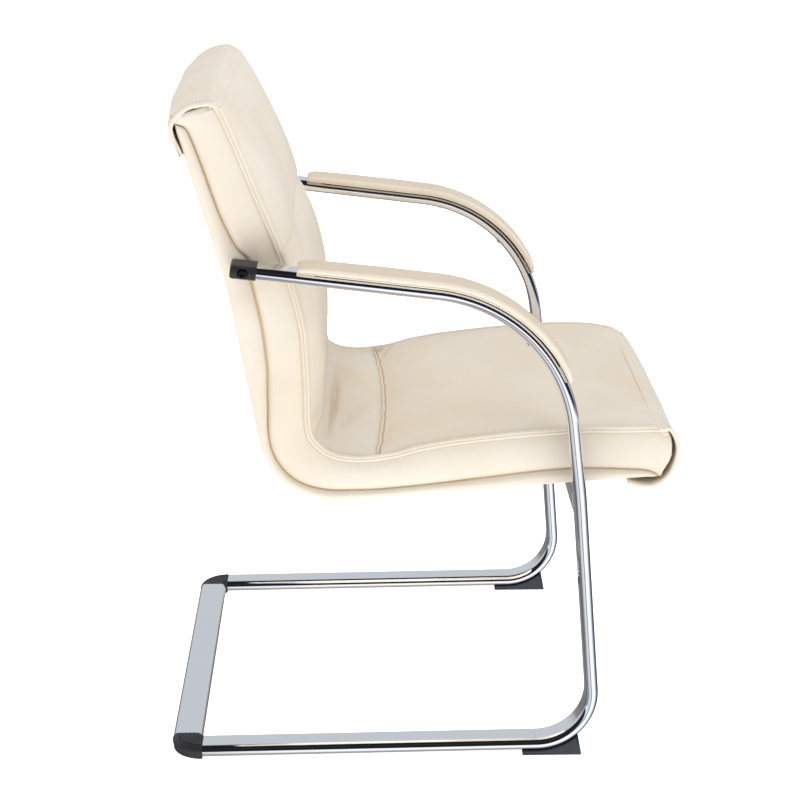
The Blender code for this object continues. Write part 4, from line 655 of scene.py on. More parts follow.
def new_piece(name, points, faces, finish, sharp=SHARP_ANGLE):
    """Object from points and faces, shaded smooth, its faces pointing out."""
    mesh = bpy.data.meshes.new(name)
    mesh.from_pydata(np.asarray(points, float).tolist(), [], faces)
    shape = bmesh.new()
    shape.from_mesh(mesh)
    bmesh.ops.recalc_face_normals(shape, faces=shape.faces)
    shape.to_mesh(mesh)
    shape.free()
    mesh.materials.append(material(finish))
    mesh.shade_smooth()
    mesh.set_sharp_from_angle(angle=sharp)
    return linked_object(name, mesh)


def lofted(name, grid, finish, sharp_degrees, flat_ends=False):
    """Closed piece through the rows of a grid."""
    points, faces = capped_grid(np.asarray(grid), flat_ends)
    return new_piece(name, points, faces, finish, math.radians(sharp_degrees))


def settle(piece, slot, *nodes):
    """Make a finished piece ride on the chair and stand for its nodes."""
    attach(piece, BODY)
    if nodes:
        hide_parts(*nodes)
    return piece


def plain_mesh(piece):
    """Turn what an object's modifiers make into its own mesh and take the modifiers off."""
    bpy.context.view_layer.update()
    graph = bpy.context.evaluated_depsgraph_get()
    mesh = bpy.data.meshes.new_from_object(piece.evaluated_get(graph), depsgraph=graph)
    mesh.name = piece.name
    piece.modifiers.clear()
    piece.data = mesh
    return piece


def linked_object(name, data):
    """Object for some data, in the scene."""
    target = bpy.data.objects.new(name, data)
    bpy.context.scene.collection.objects.link(target)
    return target


def remove_object(target):
    bpy.data.objects.remove(target, do_unlink=True)


def cut(piece, cutter):
    """Cut a piece with another object, which is then removed."""
    modifier = piece.modifiers.new("cut", "BOOLEAN")
    modifier.operation = "DIFFERENCE"
    modifier.object = cutter
    plain_mesh(piece)
    remove_object(cutter)
    return piece


def mark(piece, name, values):
    """Give a mesh a value at each point that its material reads."""
    attribute = piece.data.attributes.new(name, "FLOAT", "POINT")
    attribute.data.foreach_set("value", np.asarray(values, np.float32).ravel())


def leather_piece(name, grid, crease, sharp_degrees, flat_ends=False):
    """Leather piece for a node, through the rows of a grid, with the painted shade of its creases, partly
    the dark dye of sewn edges.
    """
    piece = lofted(name, grid, "leather", sharp_degrees, flat_ends)
    hubs = np.zeros(len(piece.data.vertices) - crease.size)
    # The crease values are painted shade in creases, folds and seams, partly the dark dye of sewn edges
    mark(piece, "crease", np.concatenate((crease.ravel(), hubs)))
    return settle(piece, "cream_leather", name)


def turned_piece(name, profile, start, axis, finish, steps=TURNED_STEPS):
    """Round piece from (radius, height) pairs along an axis, closed at both ends."""
    turn = Vector((0, 0, 1)).rotation_difference(Vector(axis)).to_matrix()
    angles = np.linspace(0.0, math.tau, steps, endpoint=False)
    rings = [[tuple(Vector(start) + turn @ Vector((radius * math.cos(a), radius * math.sin(a), height)))
              for a in angles] for radius, height in profile]
    return lofted(name, rings, finish, TURNED_SHARP_DEGREES)


# Materials

NOISE_SPAN = (0.3, 0.7)


class Graph:
    """Node tree with short calls to add and join its nodes."""

    def add(self, kind, values=None, **settings):
        node = self.tree.nodes.new(kind)
        for name, value in settings.items():
            setattr(node, name, value)
        for name, value in (values or {}).items():
            node.inputs[name].default_value = value
        return node

    def join(self, source, output, target, name):
        self.tree.links.new(source.outputs[output], target.inputs[name])


class Nodes(Graph):
    """Node tree of a new material."""

    def __init__(self, name):
        self.material = bpy.data.materials.new(name)
        self.material.use_nodes = True
        self.tree = self.material.node_tree
        self.shader = self.tree.nodes["Principled BSDF"]
        self.coordinates = self.add("ShaderNodeTexCoord")

    def set(self, **values):
        for name, value in values.items():
            self.shader.inputs[name.replace("_", " ").title().replace("Ior", "IOR")].default_value = value

    def noise(self, scale, detail=3.0, roughness=0.5, stretch=None):
        """Noise texture on the object's own coordinates, stretched if need be."""
        node = self.add("ShaderNodeTexNoise", {"Scale": scale, "Detail": detail, "Roughness": roughness})
        if stretch is None:
            self.join(self.coordinates, "Object", node, "Vector")
            return node
        mapping = self.add("ShaderNodeMapping", {"Scale": stretch})
        self.join(self.coordinates, "Object", mapping, "Vector")
        self.join(mapping, "Vector", node, "Vector")
        return node

    def ranged(self, source, output, low, high, from_low=0.0, from_high=1.0):
        """Map a value onto a range."""
        node = self.add("ShaderNodeMapRange", {"From Min": from_low, "From Max": from_high, "To Min": low,
                                               "To Max": high})
        self.join(source, output, node, "Value")
        return node

    def roughness(self, source, low, high):
        """Roughness that follows a noise between two values."""
        self.join(self.ranged(source, "Fac", low, high, *NOISE_SPAN), "Result", self.shader, "Roughness")

    def mixed(self, source, output, first, second):
        """Mix two colours, or a joined colour and another, by a value."""
        node = self.add("ShaderNodeMix", data_type="RGBA")
        self.join(source, output, node, "Factor")
        for slot, color in ((6, first), (7, second)):
            if isinstance(color, bpy.types.Node):
                self.tree.links.new(color.outputs[2], node.inputs[slot])
            else:
                node.inputs[slot].default_value = (*color[:3], 1.0)
        return node

    def color(self, node):
        self.tree.links.new(node.outputs[2], self.shader.inputs["Base Color"])

    def bump(self, height, output, distance, strength=1.0, under=None):
        """Bump from a height, on top of another bump if there is one."""
        node = self.add("ShaderNodeBump", {"Strength": strength, "Distance": distance})
        self.join(height, output, node, "Height")
        if under is not None:
            self.join(under, "Normal", node, "Normal")
        return node

    def finish(self, normal=None):
        if normal is not None:
            self.join(normal, "Normal", self.shader, "Normal")
        return self.material


def scaled(color, share):
    return tuple(channel * share for channel in color[:3])


def leather_material(finishes):
    """Cream leather: fine pebbled grain, faint blotches, painted shade in the sewn creases (partly the dark
    dye of sewn edges) and a soft sheen.
    """
    nodes = Nodes("cream_leather")
    base = tuple(finishes.leather)
    warm = (base[0] * 0.97, base[1] * 0.93, base[2] * 0.86)
    blotch = nodes.noise(9.0, 4.0, 0.55)
    blend = nodes.ranged(blotch, "Fac", 0.0, 1.0, 0.35, 0.7)
    color = nodes.mixed(blend, "Result", base, warm)
    # Painted shade: the crease attribute darkens the leather towards a deep brown in creases, folds and
    # seams, partly for the dark dye of sewn edges
    crease = nodes.add("ShaderNodeAttribute", attribute_name="crease")
    deep = (base[0] * 0.7, base[1] * 0.56, base[2] * 0.38)
    nodes.color(nodes.mixed(crease, "Fac", color, deep))
    nodes.set(specular_ior_level=0.42, coat_weight=0.04, coat_roughness=0.35)
    polish = nodes.noise(38.0, 3.0)
    nodes.roughness(polish, 0.4, 0.56)
    grain = nodes.add("ShaderNodeTexVoronoi", {"Scale": 820.0}, feature="SMOOTH_F1")
    nodes.join(nodes.coordinates, "Object", grain, "Vector")
    pores = nodes.bump(grain, "Distance", 0.00018, 0.55)
    pull = nodes.noise(55.0, 4.0, 0.6, (1.0, 2.2, 2.2))
    return nodes.finish(nodes.bump(pull, "Fac", 0.0007, 0.5, pores))


def thread_material(finishes):
    """Twisted sewing thread, a shade darker than the leather."""
    nodes = Nodes("sewing_thread")
    base = tuple(finishes.thread)
    twist = nodes.add("ShaderNodeTexWave", {"Scale": 900.0, "Distortion": 2.0}, wave_type="BANDS",
                      bands_direction="DIAGONAL")
    nodes.join(nodes.coordinates, "Object", twist, "Vector")
    nodes.color(nodes.mixed(twist, "Fac", base, scaled(base, 0.82)))
    nodes.set(roughness=0.62, specular_ior_level=0.3, sheen_weight=0.15)
    return nodes.finish(nodes.bump(twist, "Fac", 0.0001, 0.6))


def chrome_material(finishes):
    """Polished chrome with the faint waviness and haze of plated tube."""
    nodes = Nodes("chrome")
    base = tuple(finishes.chrome)
    haze = nodes.noise(26.0, 5.0, 0.6)
    nodes.color(nodes.mixed(haze, "Fac", base, scaled(base, 0.965)))
    nodes.set(metallic=1.0)
    nodes.roughness(haze, 0.035, 0.075)
    wave = nodes.noise(11.0, 1.0)
    return nodes.finish(nodes.bump(wave, "Fac", 0.0006, 0.08))


def steel_material(name, color, roughness):
    """Plated or blackened steel with a fine drawn texture."""
    nodes = Nodes(name)
    streaks = nodes.noise(240.0, 4.0, 0.6, (1.0, 0.25, 1.0))
    nodes.color(nodes.mixed(streaks, "Fac", color, scaled(color, 0.78)))
    nodes.set(metallic=1.0)
    nodes.roughness(streaks, *roughness)
    return nodes.finish(nodes.bump(streaks, "Fac", 0.00008, 0.3))


def moulded_material(name, color, roughness, grain_scale, grain_depth):
    """Moulded plastic or rubber with a fine spark-eroded grain and rubbed patches."""
    nodes = Nodes(name)
    rubbed = nodes.noise(45.0, 4.0, 0.6)
    nodes.color(nodes.mixed(rubbed, "Fac", color, scaled(color, 1.5)))
    nodes.roughness(rubbed, *roughness)
    nodes.set(specular_ior_level=0.45)
    grain = nodes.noise(grain_scale, 2.0)
    return nodes.finish(nodes.bump(grain, "Fac", grain_depth, 0.6))


def plywood_material(finishes):
    """Bent birch plywood with long grain."""
    nodes = Nodes("birch_plywood")
    base = tuple(finishes.plywood)
    grain = nodes.noise(30.0, 6.0, 0.65, (1.0, 0.08, 0.08))
    nodes.color(nodes.mixed(grain, "Fac", scaled(base, 1.15), scaled(base, 0.72)))
    nodes.set(roughness=0.62, specular_ior_level=0.3)
    return nodes.finish(nodes.bump(grain, "Fac", 0.0003, 0.4))


MATERIALS = {}


def material(name):
    """The chair's material of a name, made when it is first asked for."""
    finishes = bpy.context.scene.chair_finishes
    makers = {
        "leather": lambda: leather_material(finishes),
        "thread": lambda: thread_material(finishes),
        "chrome": lambda: chrome_material(finishes),
        "zinc": lambda: steel_material("zinc_steel", tuple(finishes.zinc), (0.28, 0.42)),
        "black_steel": lambda: steel_material("black_steel", scaled(finishes.plastic, 1.6), (0.26, 0.4)),
        "plastic": lambda: moulded_material("black_plastic", tuple(finishes.plastic), (0.34, 0.48), 1500.0,
                                            0.00008),
        "rubber": lambda: moulded_material("black_rubber", tuple(finishes.rubber), (0.48, 0.66), 900.0,
                                           0.00012),
        "plywood": lambda: plywood_material(finishes),
    }
    if name not in MATERIALS:
        MATERIALS[name] = makers[name]()
    return MATERIALS[name]


# Geometry Nodes trees

class Tree(Graph):
    """Geometry Nodes tree with named inputs."""

    def __init__(self, name, inputs):
        self.tree = bpy.data.node_groups.new(name, "GeometryNodeTree")
        self.tree.interface.new_socket(name="Path", in_out="INPUT", socket_type="NodeSocketGeometry")
        self.ids = {}
        for label, kind in inputs:
            socket = self.tree.interface.new_socket(name=label, in_out="INPUT", socket_type=kind)
            self.ids[label] = socket.identifier
        self.tree.interface.new_socket(name="Result", in_out="OUTPUT", socket_type="NodeSocketGeometry")
        self.start = self.add("NodeGroupInput")
        self.end = self.add("NodeGroupOutput")

    def half(self, source, output):
        """Half of a value."""
        node = self.add("ShaderNodeMath", {1: 0.5}, operation="MULTIPLY")
        self.join(source, output, node, 0)
        return node

    def close(self, source, output):
        """Realize instances, set the material and give the result out."""
        real = self.add("GeometryNodeRealizeInstances")
        finish = self.add("GeometryNodeSetMaterial")
        self.join(source, output, real, "Geometry")
        self.join(real, "Geometry", finish, "Geometry")
        self.join(self.start, "Material", finish, "Material")
        self.join(finish, "Geometry", self.end, "Result")
        return self

    def apply(self, piece, **values):
        """Run the tree on an object and keep its result as the object's mesh."""
        modifier = piece.modifiers.new(self.tree.name, "NODES")
        modifier.node_group = self.tree
        for label, value in values.items():
            modifier[self.ids[label.replace("_", " ").title()]] = value
        return plain_mesh(piece)


def tube_tree():
    """Flat-oval tube along a path: a filleted rectangle carried along the curve."""
    tree = Tree("flat_oval_tube", (("Width", "NodeSocketFloat"), ("Depth", "NodeSocketFloat"),
                                   ("Material", "NodeSocketMaterial")))
    curve = tree.add("GeometryNodeMeshToCurve")
    section = tree.add("GeometryNodeCurvePrimitiveQuadrilateral", mode="RECTANGLE")
    fillet = tree.add("GeometryNodeFilletCurve")
    if "Mode" in fillet.inputs:
        fillet.inputs["Mode"].default_value = "Poly"
    else:
        fillet.mode = "POLY"
    fillet.inputs["Count"].default_value = TUBE_ROUND_COUNT
    fillet.inputs["Limit Radius"].default_value = True
    solid = tree.add("GeometryNodeCurveToMesh")
    welded = tree.add("GeometryNodeMergeByDistance", {"Distance": MERGE_DISTANCE})
    smooth = tree.add("GeometryNodeSetShadeSmooth")
    thinner = tree.add("ShaderNodeMath", operation="MINIMUM")
    tree.join(tree.start, "Width", thinner, 0)
    tree.join(tree.start, "Depth", thinner, 1)
    radius = tree.half(thinner, 0)
    tree.join(tree.start, "Path", curve, "Mesh")
    tree.join(tree.start, "Width", section, "Width")
    tree.join(tree.start, "Depth", section, "Height")
    tree.join(section, "Curve", fillet, "Curve")
    tree.join(radius, 0, fillet, "Radius")
    tree.join(curve, "Curve", solid, "Curve")
    tree.join(fillet, "Curve", solid, "Profile Curve")
    tree.join(solid, "Mesh", welded, "Geometry")
    tree.join(welded, "Geometry", smooth, "Geometry")
    return tree.close(smooth, "Geometry")


def stitch_tree():
    """Row of stitches along a path: a small grain of thread at each step, turned along the path."""
    tree = Tree("stitch_row", (("Pitch", "NodeSocketFloat"), ("Stitch Length", "NodeSocketFloat"),
                               ("Thread", "NodeSocketFloat"), ("Material", "NodeSocketMaterial")))
    curve = tree.add("GeometryNodeMeshToCurve")
    steps = tree.add("GeometryNodeCurveToPoints", mode="LENGTH")
    grain = tree.add("GeometryNodeMeshUVSphere", {"Segments": STITCH_SEGMENTS, "Rings": STITCH_RINGS,
                                                   "Radius": 1.0})
    shape = tree.add("GeometryNodeTransform")
    size = tree.add("ShaderNodeCombineXYZ")
    turn = tree.add("FunctionNodeAlignRotationToVector", axis="X")
    copies = tree.add("GeometryNodeInstanceOnPoints")
    smooth = tree.add("GeometryNodeSetShadeSmooth")
    tree.join(tree.start, "Path", curve, "Mesh")
    tree.join(curve, "Curve", steps, "Curve")
    tree.join(tree.start, "Pitch", steps, "Length")
    tree.join(tree.half(tree.start, "Stitch Length"), 0, size, "X")
    thread = tree.half(tree.start, "Thread")
    tree.join(thread, 0, size, "Y")
    tree.join(thread, 0, size, "Z")
    tree.join(grain, "Mesh", shape, "Geometry")
    tree.join(size, "Vector", shape, "Scale")
    tree.join(steps, "Tangent", turn, "Vector")
    tree.join(steps, "Points", copies, "Points")
    tree.join(shape, "Geometry", copies, "Instance")
    tree.join(turn, "Rotation", copies, "Rotation")
    tree.join(copies, "Instances", smooth, "Geometry")
    return tree.close(smooth, "Geometry")


TREES = {}


def tree_of(name):
    """A Geometry Nodes tree of a name, made when it is first asked for."""
    makers = {"tube": tube_tree, "stitch": stitch_tree}
    if name not in TREES:
        TREES[name] = makers[name]()
    return TREES[name]


def path_object(name, paths):
    """Object of one or more open paths, as edges."""
    points = np.vstack(paths)
    edges = []
    first = 0
    for path in paths:
        edges += [(index, index + 1) for index in range(first, first + len(path) - 1)]
        first += len(path)
    mesh = bpy.data.meshes.new(name)
    mesh.from_pydata(points.tolist(), edges, [])
    return linked_object(name, mesh)


def stitch_rows(name, paths):
    """Stitches along one or more paths as one piece."""
    sewing = bpy.context.scene.chair_sewing
    rows = path_object(name, paths)
    tree_of("stitch").apply(rows, pitch=sewing.stitch_pitch, stitch_length=sewing.stitch_length,
                            thread=sewing.thread, material=material("thread"))
    return settle(rows, "cream_leather")


# Frame

def oval_tube(name, path, width, depth, wall, lean=0.0):
    """Open flat-oval tube along a path, with its wall; a straight one can lean about its path."""
    piece = path_object(name, [path])
    tree_of("tube").apply(piece, width=width, depth=depth, material=material("chrome"))
    shell = piece.modifiers.new("wall", "SOLIDIFY")
    shell.thickness = wall
    shell.offset = -1.0
    shell.use_even_offset = True
    plain_mesh(piece)
    middle = Vector(path[0])
    turn = Matrix.Rotation(lean, 4, "X")
    piece.data.transform(Matrix.Translation(middle) @ turn @ Matrix.Translation(-middle))
    piece.data.shade_smooth()
    piece.data.set_sharp_from_angle(angle=SHARP_ANGLE)
    return settle(piece, "chrome", name)


def make_frame(tube):
    """Two bent side frames and the two crossbars."""
    line = frame_line(tube)
    for side, sign in SIDES:
        path = world(line.points, sign * FRAME_HALF)
        oval_tube("side_frame_" + side, path, tube.width, tube.depth, tube.wall)
    upright = Vector(KNEE) - Vector((FOOT_REACH, RUNNER_FRONT_LIFT + tube.depth / 2))
    lean = -math.atan2(-upright.x, upright.y)
    for name, wide, deep, turn in (("rear_crossbar", tube.width, tube.depth, 0.0),
                                   ("seat_crossbar", tube.depth, tube.width, lean)):
        low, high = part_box(name)
        middle = (low + high) / 2
        path = [(low.x, middle.y, middle.z), (0.0, middle.y, middle.z), (high.x, middle.y, middle.z)]
        oval_tube(name, np.array(path), wide, deep, tube.wall, turn)


# Padding

SEAM_BOWS = ((SEAT_SEAM, SEAT_SEAM_BOW, SEAT_SEAM_REACH, 61),
             (BACK_SEAM, BACK_SEAM_BOW, BACK_SEAM_REACH, 62))
Wrap = namedtuple("Wrap", "name end outward start edge middle far power seed")
WRAPS = (Wrap("top_flap", 0.0, -1, HOOD_START, HOOD_EDGE, HOOD_MIDDLE, HOOD_FAR, HOOD_POWER, 31),
         Wrap("front_wrap", SHELL.length, 1, NOSE_START, NOSE_EDGE, NOSE_MIDDLE, NOSE_FAR, NOSE_POWER, 32))


def wobble(values, pitch, seed):
    """Smooth seeded noise from -1 to 1 along a line of values."""
    marks = np.arange(np.min(values) - pitch, np.max(values) + 2 * pitch, pitch)
    heights = np.random.default_rng(seed).uniform(-1.0, 1.0, len(marks))
    return smooth_read(np.stack((marks, heights), -1), values)


def seeded_wave(values, pitch, seed):
    """Smooth seeded noise that depends on the place alone, from -1 to 1."""
    spin = np.random.default_rng(seed).uniform(0.0, math.tau, len(WAVES))
    turn = np.asarray(values, float) * math.tau / pitch
    return sum(size * np.sin(rate * turn + start) for (size, rate), start in zip(WAVES, spin)) / 2


def bell(away, reach):
    """One at nothing, falling smoothly to nothing past a reach."""
    return np.exp(-(np.asarray(away) / reach) ** 2)


def lip_rise(distance):
    """Height of the edge roll's seam above the plywood's front face."""
    return LIP_RISE * smooth_read(LIP_SHARES, distance / SHELL.length)


def cushion_depth(distance):
    return CUSHION_DEPTH * smooth_read(DEPTH_SHARES, distance / SHELL.length)


def cushion_crown(distance):
    return CUSHION_CROWN * smooth_read(CROWN_SHARES, distance / SHELL.length)


def seam_shift(distance, across):
    """How far along the shell the cross seams bow in the middle and wander."""
    share = np.clip(np.abs(across) / ROLL_HALF, 0.0, 1.0)
    shift = 0.0
    for seam, bow, reach, seed in SEAM_BOWS:
        near = np.clip(1 - np.abs(distance - seam) / reach, 0.0, 1.0)
        wander = SEAM_WANDER * seeded_wave(across, SEAM_WANDER_PITCH, seed) * (1 - share ** EDGE_HOLD)
        shift = shift + near ** 2 * (3 - 2 * near) * (bow * (1 - share ** 2) + wander)
    return shift


def end_fall(distance, across):
    """How far the face falls away towards the front and top edges, everywhere but by the sharp near edge."""
    front = np.clip((distance - SHELL.length + FRONT_FALL_REACH) / FRONT_FALL_REACH, 0.0, 1.0)
    top = np.clip((TOP_FALL_REACH - distance) / TOP_FALL_REACH, 0.0, 1.0)
    far = 1 - np.clip(-across / FACE_HALF, 0.0, 1.0) ** EDGE_HOLD
    return (FRONT_FALL * front ** FALL_POWER + TOP_FALL * top ** FALL_POWER) * far


def stations(start, end):
    """Distances along the shell for a cushion's rings, closer together by its ends."""
    low = [start + step for step in SEAM_STEPS]
    high = [end - step for step in reversed(SEAM_STEPS)]
    count = math.ceil((high[0] - low[-1]) / ALONG_STEP)
    return np.array(low[:-1] + list(np.linspace(low[-1], high[0], count + 1)) + high[1:])


def end_tuck(distance):
    """How far the boxing turns in at the two ends of the padding, and where a wrap covers the face."""
    away = np.minimum(distance - BOXING_START, BOXING_END - distance)
    turned = np.clip(1 - away / END_TUCK_REACH, 0.0, 1.0)
    covered = (distance < HOOD_START - COVERED_GAP) | (distance > SHELL.length - NOSE_START + COVERED_GAP)
    return END_TUCK * (1 - np.sqrt(1 - turned ** 2)), covered


def front_bulge(distance, height):
    """How far the boxing's front end reaches forward into the nose."""
    near = np.clip((distance - SHELL.length + FRONT_BULGE_REACH) / FRONT_BULGE_REACH, 0.0, 1.0)
    return near ** 2 * smooth_read(FRONT_BULGE, height)


def seam_relief(away, across_share):
    """Height that a cross seam adds to the face: a broad dip, and a lapped and stitched band above it."""
    size = np.abs(away)
    dip = -SEAM_DIP * bell(size, SEAM_DIP_REACH)
    join = -SEAM_GROOVE * bell(size, SEAM_GROOVE_REACH)
    lap = SEAM_RIDGE * bell(away + SEAM_RIDGE_AWAY, SEAM_RIDGE_REACH)
    stitch = -SEAM_STITCH_DIP * bell(away + SEAM_STITCH_AWAY, SEAM_STITCH_REACH)
    return dip * (1 - SEAM_DIP_EASE * across_share ** EDGE_HOLD) + join + lap + stitch


def seam_strength(end, across):
    """How strongly a cross seam shows: the back's is drawn down less, and only on the far half."""
    if end == SEAT_SEAM:
        return 1.0
    return BACK_SEAM_STRENGTH * np.clip((across / FACE_HALF - BACK_SEAM_HIDDEN) / BACK_SEAM_FADE, 0.0, 1.0)


def fold_depth(distance, across):
    """Depth of the folds that are pressed into the face."""
    depth = np.zeros(np.broadcast(distance, across).shape)
    for along, side, turn, half_length, half_width, deep in FACE_FOLDS:
        forward = distance - along * SHELL.length
        aside = across - side * FACE_HALF
        with_fold = aside * math.cos(turn) + forward * math.sin(turn)
        over_fold = forward * math.cos(turn) - aside * math.sin(turn)
        depth += deep * bell(with_fold, half_length) * bell(over_fold, half_width)
    return depth


def face_relief(distance, across, ends):
    """Folds, puckers and seam bands of the face over its smooth crown."""
    share = across / FACE_HALF
    height = -fold_depth(distance, across)
    for number, end in enumerate(ends):
        away = distance - end
        wave = seeded_wave(across, PUCKER_PITCH, seed=40 + number)
        pucker = PUCKER * (wave * bell(np.abs(away) - PUCKER_AWAY, PUCKER_REACH))
        relief = seam_relief(away, np.abs(share)) * seam_strength(end, across)
        height = height + relief + pucker * (1 - bell(away, PUCKER_GAP))
    for number, side in enumerate((-1, 1)):
        near_edge = bell((1 - side * share) * FACE_HALF - EDGE_PUCKER_AWAY, EDGE_PUCKER_REACH)
        wave = seeded_wave(distance, EDGE_PUCKER_PITCH, seed=50 + number)
        height = height + PUCKER * EDGE_PUCKER_SHARE * wave * near_edge
    return height


def smooth_height(distance, across):
    """Height of the face's smooth crown over the plywood."""
    share = np.clip(np.abs(across) / FACE_HALF, 0.0, 1.0)
    crown = cushion_crown(distance) * (1 - share ** CROWN_POWER)
    valley = VALLEY * bell((1 - share) * FACE_HALF, VALLEY_REACH)
    return cushion_depth(distance) + crown - valley - end_fall(distance, across)


def face_height(distance, across, ends=()):
    """Height of the face over the plywood."""
    return smooth_height(distance, across) + face_relief(distance, across, ends)


def boxing_profile(lip, depth):
    """Half section from the roll's seam up the boxing and over the welt, as (outward, height) columns."""
    low = [(ROLL_HALF - inset, lip + up) for inset, up in BOXING_LOW]
    bulge = [(ROLL_HALF - inset, lip + (depth - lip) * share) for inset, share in BOXING_BULGE]
    return low + bulge + [(ROLL_HALF - inset, depth - down) for inset, down in WELT]


def cushion_rings(start, end):
    """Rings of one cushion between two distances along the shell."""
    sewn = [place for place in (start, end) if place in (BACK_SEAM, SEAT_SEAM)]
    along = stations(start, end)
    tuck, covered = end_tuck(along)
    lip = lip_rise(along) + LIP_CLEARANCE
    soft = wobble(along, BOXING_SWELL_PITCH, seed=7)
    pinched = PINCH * bell(along - PINCH_SHARE * SHELL.length, PINCH_REACH)
    under = np.full(len(along), TOUCH_GAP)
    sides = []
    for sign in (1, -1):
        depth = cushion_depth(along) - end_fall(along, np.float64(sign * FACE_HALF)) - WRAP_SKIN * covered
        side = [(np.full(len(along), BOXING_INNER_SHARE * FACE_HALF), under),
                (np.full(len(along), ROLL_HALF - PLY_EDGE), under)]
        for index, (out, height) in enumerate(boxing_profile(lip, depth)):
            swell = BOXING_SWELL * soft if index in BOXING_SWELL_COLUMNS else 0.0
            pinch = pinched * PINCH_COLUMNS.get(index, 0.0)
            side.append((out + swell - tuck - pinch, np.maximum(height, lip + BOXING_LOW[0][1])))
        sides.append((sign * np.stack([out for out, _ in side], 1), np.stack([up for _, up in side], 1)))
    count = math.ceil(2 * FACE_HALF / ACROSS_STEP)
    even = np.linspace(1, -1, count + 1)[1:-1]
    shares = np.sin(even * math.pi / 2) * FACE_CROWDING + even * (1 - FACE_CROWDING)
    across = np.broadcast_to(shares * FACE_HALF, (len(along), count - 1))
    face = face_height(along[:, None], across, sewn) - (WRAP_SKIN + COVERED_GAP) * covered[:, None]
    (left_out, left_up), (right_out, right_up) = sides
    outs = np.hstack((left_out, across - np.sign(across) * tuck[:, None], right_out[:, ::-1]))
    heights = np.hstack((left_up, face, right_up[:, ::-1]))
    return along, outs, heights, left_out.shape[1], sewn


def blurred(values, reach, axis):
    """Moving average of values along an axis, its ends held."""
    padding = [(reach, reach) if number == axis else (0, 0) for number in range(values.ndim)]
    kernel = np.ones(2 * reach + 1) / (2 * reach + 1)
    return np.apply_along_axis(np.convolve, axis, np.pad(values, padding, mode="edge"), kernel, "valid")


def spread(values, places, count, axis):
    """Values at some places along an axis, read at each of a count of steps between them."""
    return np.apply_along_axis(lambda line: np.interp(np.arange(count), places, line), axis, values)


def relax_face(along, across, points, sewn):
    """Let the face's leather belly out between its sewn lines, by a cloth simulation on a coarse copy."""
    rows = max(6, round((along[-1] - along[0]) / SIM_STEP))
    columns = round(2 * FACE_HALF / SIM_STEP)
    row_places = np.linspace(0, len(along) - 1, rows).round().astype(int)
    column_places = np.linspace(0, len(across) - 1, columns).round().astype(int)
    coarse = points[np.ix_(row_places, column_places)]
    normal = np.cross(coarse[-1, columns // 2] - coarse[0, columns // 2], (1.0, 0.0, 0.0))
    normal *= np.sign(normal @ (0.0, -1.0, 1.0)) / np.linalg.norm(normal)
    below = coarse - normal * SIM_MARGIN * 2
    ring = np.concatenate((coarse, below[:, ::-1]), axis=1)
    flat, faces = capped_grid(ring)
    piece = new_piece("face_cloth", flat, faces, "leather")
    free = np.zeros((rows, 2 * columns))
    free[:, :columns] = 1.0
    edge = np.minimum(across[column_places] - across[-1], across[0] - across[column_places])
    free[:, :columns][:, np.abs(edge) < SIM_MARGIN] = 0.0
    for end in (along[0], along[-1]):
        reach = SIM_MARGIN if end in sewn else SIM_MARGIN * SIM_FREE_END_SHARE
        free[np.abs(along[row_places] - end) < reach] = 0.0
    pins = piece.vertex_groups.new(name="held")
    held = [int(index) for index in np.flatnonzero(np.concatenate((free.ravel(), (0.0, 0.0))) == 0.0)]
    pins.add(held, 1.0, "REPLACE")
    cloth = piece.modifiers.new("cloth", "CLOTH")
    for name, value in SIM_SETTINGS.items():
        setattr(cloth.settings, name, value)
    cloth.settings.vertex_group_mass = pins.name
    cloth.settings.effector_weights.gravity = 0.0
    cloth.collision_settings.use_collision = False
    scene = bpy.context.scene
    cloth.point_cache.frame_start, cloth.point_cache.frame_end = 1, SIM_FRAMES
    for frame in range(1, SIM_FRAMES + 1):
        scene.frame_set(frame)
    graph = bpy.context.evaluated_depsgraph_get()
    moved = piece.evaluated_get(graph).data
    final = np.empty(len(moved.vertices) * 3)
    moved.vertices.foreach_get("co", final)
    shift = (final.reshape(-1, 3) - flat)[:rows * 2 * columns].reshape(rows, 2 * columns, 3)[:, :columns]
    piece.modifiers.clear()
    remove_object(piece)
    scene.frame_set(1)
    for axis in (0, 1, 0, 1):
        shift = blurred(shift, 1, axis)
    size = np.linalg.norm(shift, axis=-1, keepdims=True)
    shift *= np.minimum(1.0, SIM_CAP / np.maximum(size, TINY))
    print("cloth: moved at most %.1f mm" % (1000 * size.max()))
    full = spread(spread(shift, column_places, len(across), 1), row_places, len(along), 0)
    for axis in (0, 1, 0, 1):
        full = blurred(full, 2, axis)
    return full


